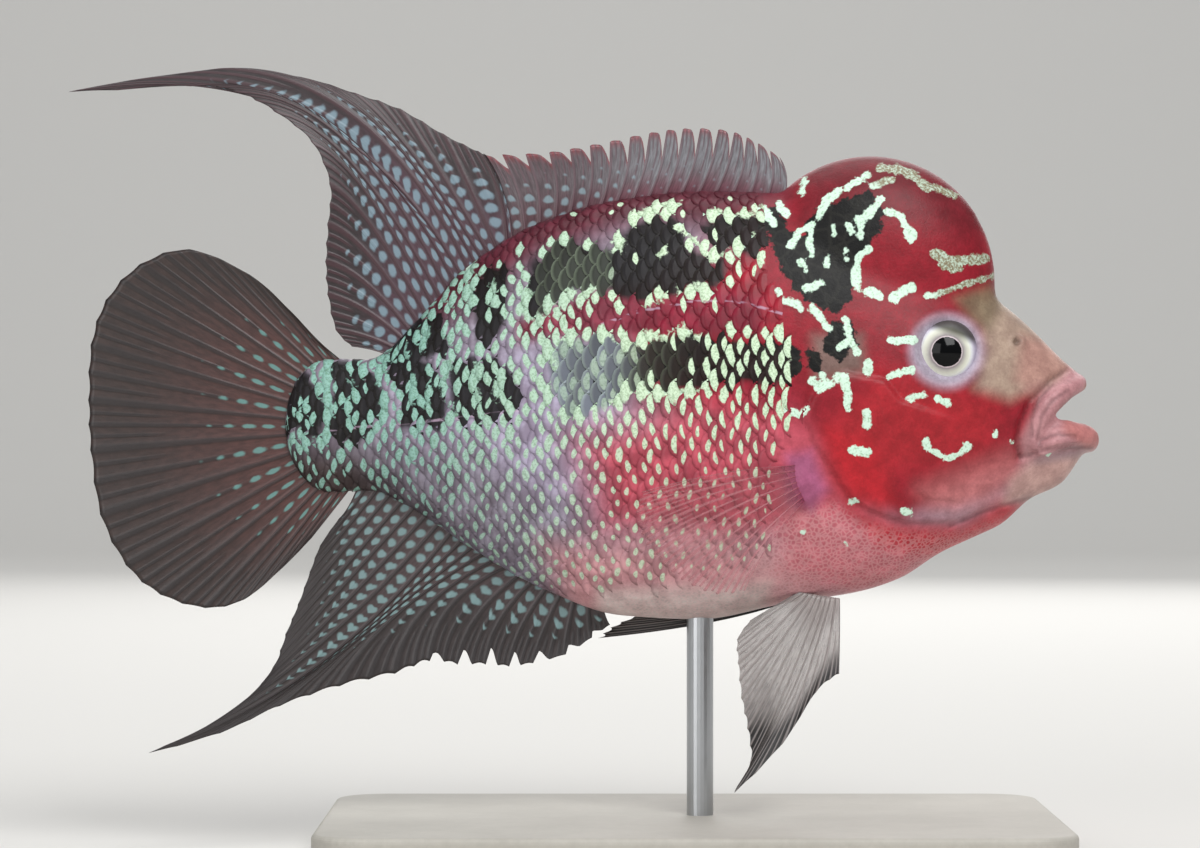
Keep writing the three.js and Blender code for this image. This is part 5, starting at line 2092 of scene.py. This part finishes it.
    def _pelvics(self) -> None:
        """The pelvic fins: the right one hangs down and the left one lies along the belly."""
        finish = FinFinish("pelvic fin", "#8f8785", "#8f8a88", ray_width=0.08, clear=0.5).build(self.effects)
        for side, rays, front, rear, always_dark, sway in (
            (Side.RIGHT, self.pelvic_right, (38.1, 38.6), (32.1, 39.6), 0.0, lambda u, v: -4.2 - 3.5 * v),
            (Side.LEFT, self.pelvic_left, (32.4, 38.4), (28.2, 38.4), 1.0, lambda u, v: 4.2 + 1.2 * v),
        ):
            span = len(rays) - 1
            fin = Fin(f"pelvic_{side.word}", span, self._between(front, rear, span), self._column(rays, 0),
                      self._column(rays, 1), sway)
            piece = fin.build()
            _, py = VIEW.pixels(places(piece.data))
            shade = smoothstep(0.5, 0.95, fin.v) * smoothstep(span * 0.75, span * 0.35, fin.u)
            shade = np.clip(shade + smoothstep(700, 775, py) + always_dark, 0, 1)
            dress_fin(piece, blend_colours(shade, "#a8a09d", "#1d1a1a"), np.zeros(len(fin.v)),
                      0.55 + 0.42 * np.maximum(shade, smoothstep(0.3, 0.0, fin.v)))
            finish_piece(piece, finish, "fin_membrane", f"pelvic_fin_{side.word}")


@dataclass
class Stand:
    """Flat base and rod, in millimetres."""

    effects: Effects
    length: float = 110.0
    width: float = 70.0
    height: float = 6.0
    centre_x: float = 16.0
    corner: float = 8.0
    rim: float = 0.8
    plate: Finish = StandFinish("stand plate", ((0.3, "#a5a198"), (0.7, "#b5b1a8")), 900.0, 0.6, relief=0.2)
    steel: Finish = StandFinish("satin steel", ((0.2, "#b2b4b6"), (0.8, "#bfc1c4")), 600.0, 0.32, metallic=1.0)

    def build(self) -> None:
        """Makes the plate and dresses the rod."""
        bm = bmesh.new()
        bmesh.ops.create_cube(bm, size=1.0)
        bmesh.ops.scale(bm, verts=bm.verts, vec=Vector((self.length, self.width, self.height)) * MM)
        bmesh.ops.translate(bm, verts=bm.verts, vec=Vector((self.centre_x, 0, self.height / 2)) * MM)
        upright = [edge for edge in bm.edges if self._rise(edge) > MM]
        self._round(bm, upright, self.corner, 10)
        rims = [edge for edge in bm.edges if self._rise(edge) < 0.1 * MM
                and edge.verts[0].co.z > (self.height - 1) * MM and len(edge.link_faces) == 2
                and abs(edge.link_faces[0].normal.z - edge.link_faces[1].normal.z) > 0.5]
        self._round(bm, rims, self.rim, 4)
        plate = mesh_object("stand_plate", bm, smooth=False)
        finish_piece(plate, self.plate.build(self.effects), "stand_plate", "stand_base")
        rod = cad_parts["stand_rod"]
        rod.data.materials.clear()
        rod.data.materials.append(self.steel.build(self.effects))

    @staticmethod
    def _rise(edge: bmesh.types.BMEdge) -> float:
        """Height between an edge's ends, in metres."""
        return abs(edge.verts[0].co.z - edge.verts[1].co.z)

    @staticmethod
    def _round(bm: BMesh, edges: list[bmesh.types.BMEdge], radius: float, segments: int) -> None:
        """Rounds edges of a mesh by a radius in millimetres."""
        bmesh.ops.bevel(bm, geom=edges, offset=radius * MM, segments=segments, profile=0.5, affect="EDGES",
                        material=-1)


def main() -> None:
    """Builds the fish, its stand and the studio."""
    logging.basicConfig(level=logging.INFO, format="%(name)s %(message)s")
    effects = Effects()
    Fish(effects).build()
    Stand(effects).build()
    Studio(effects).build()


if __name__ == "__main__":
    main()
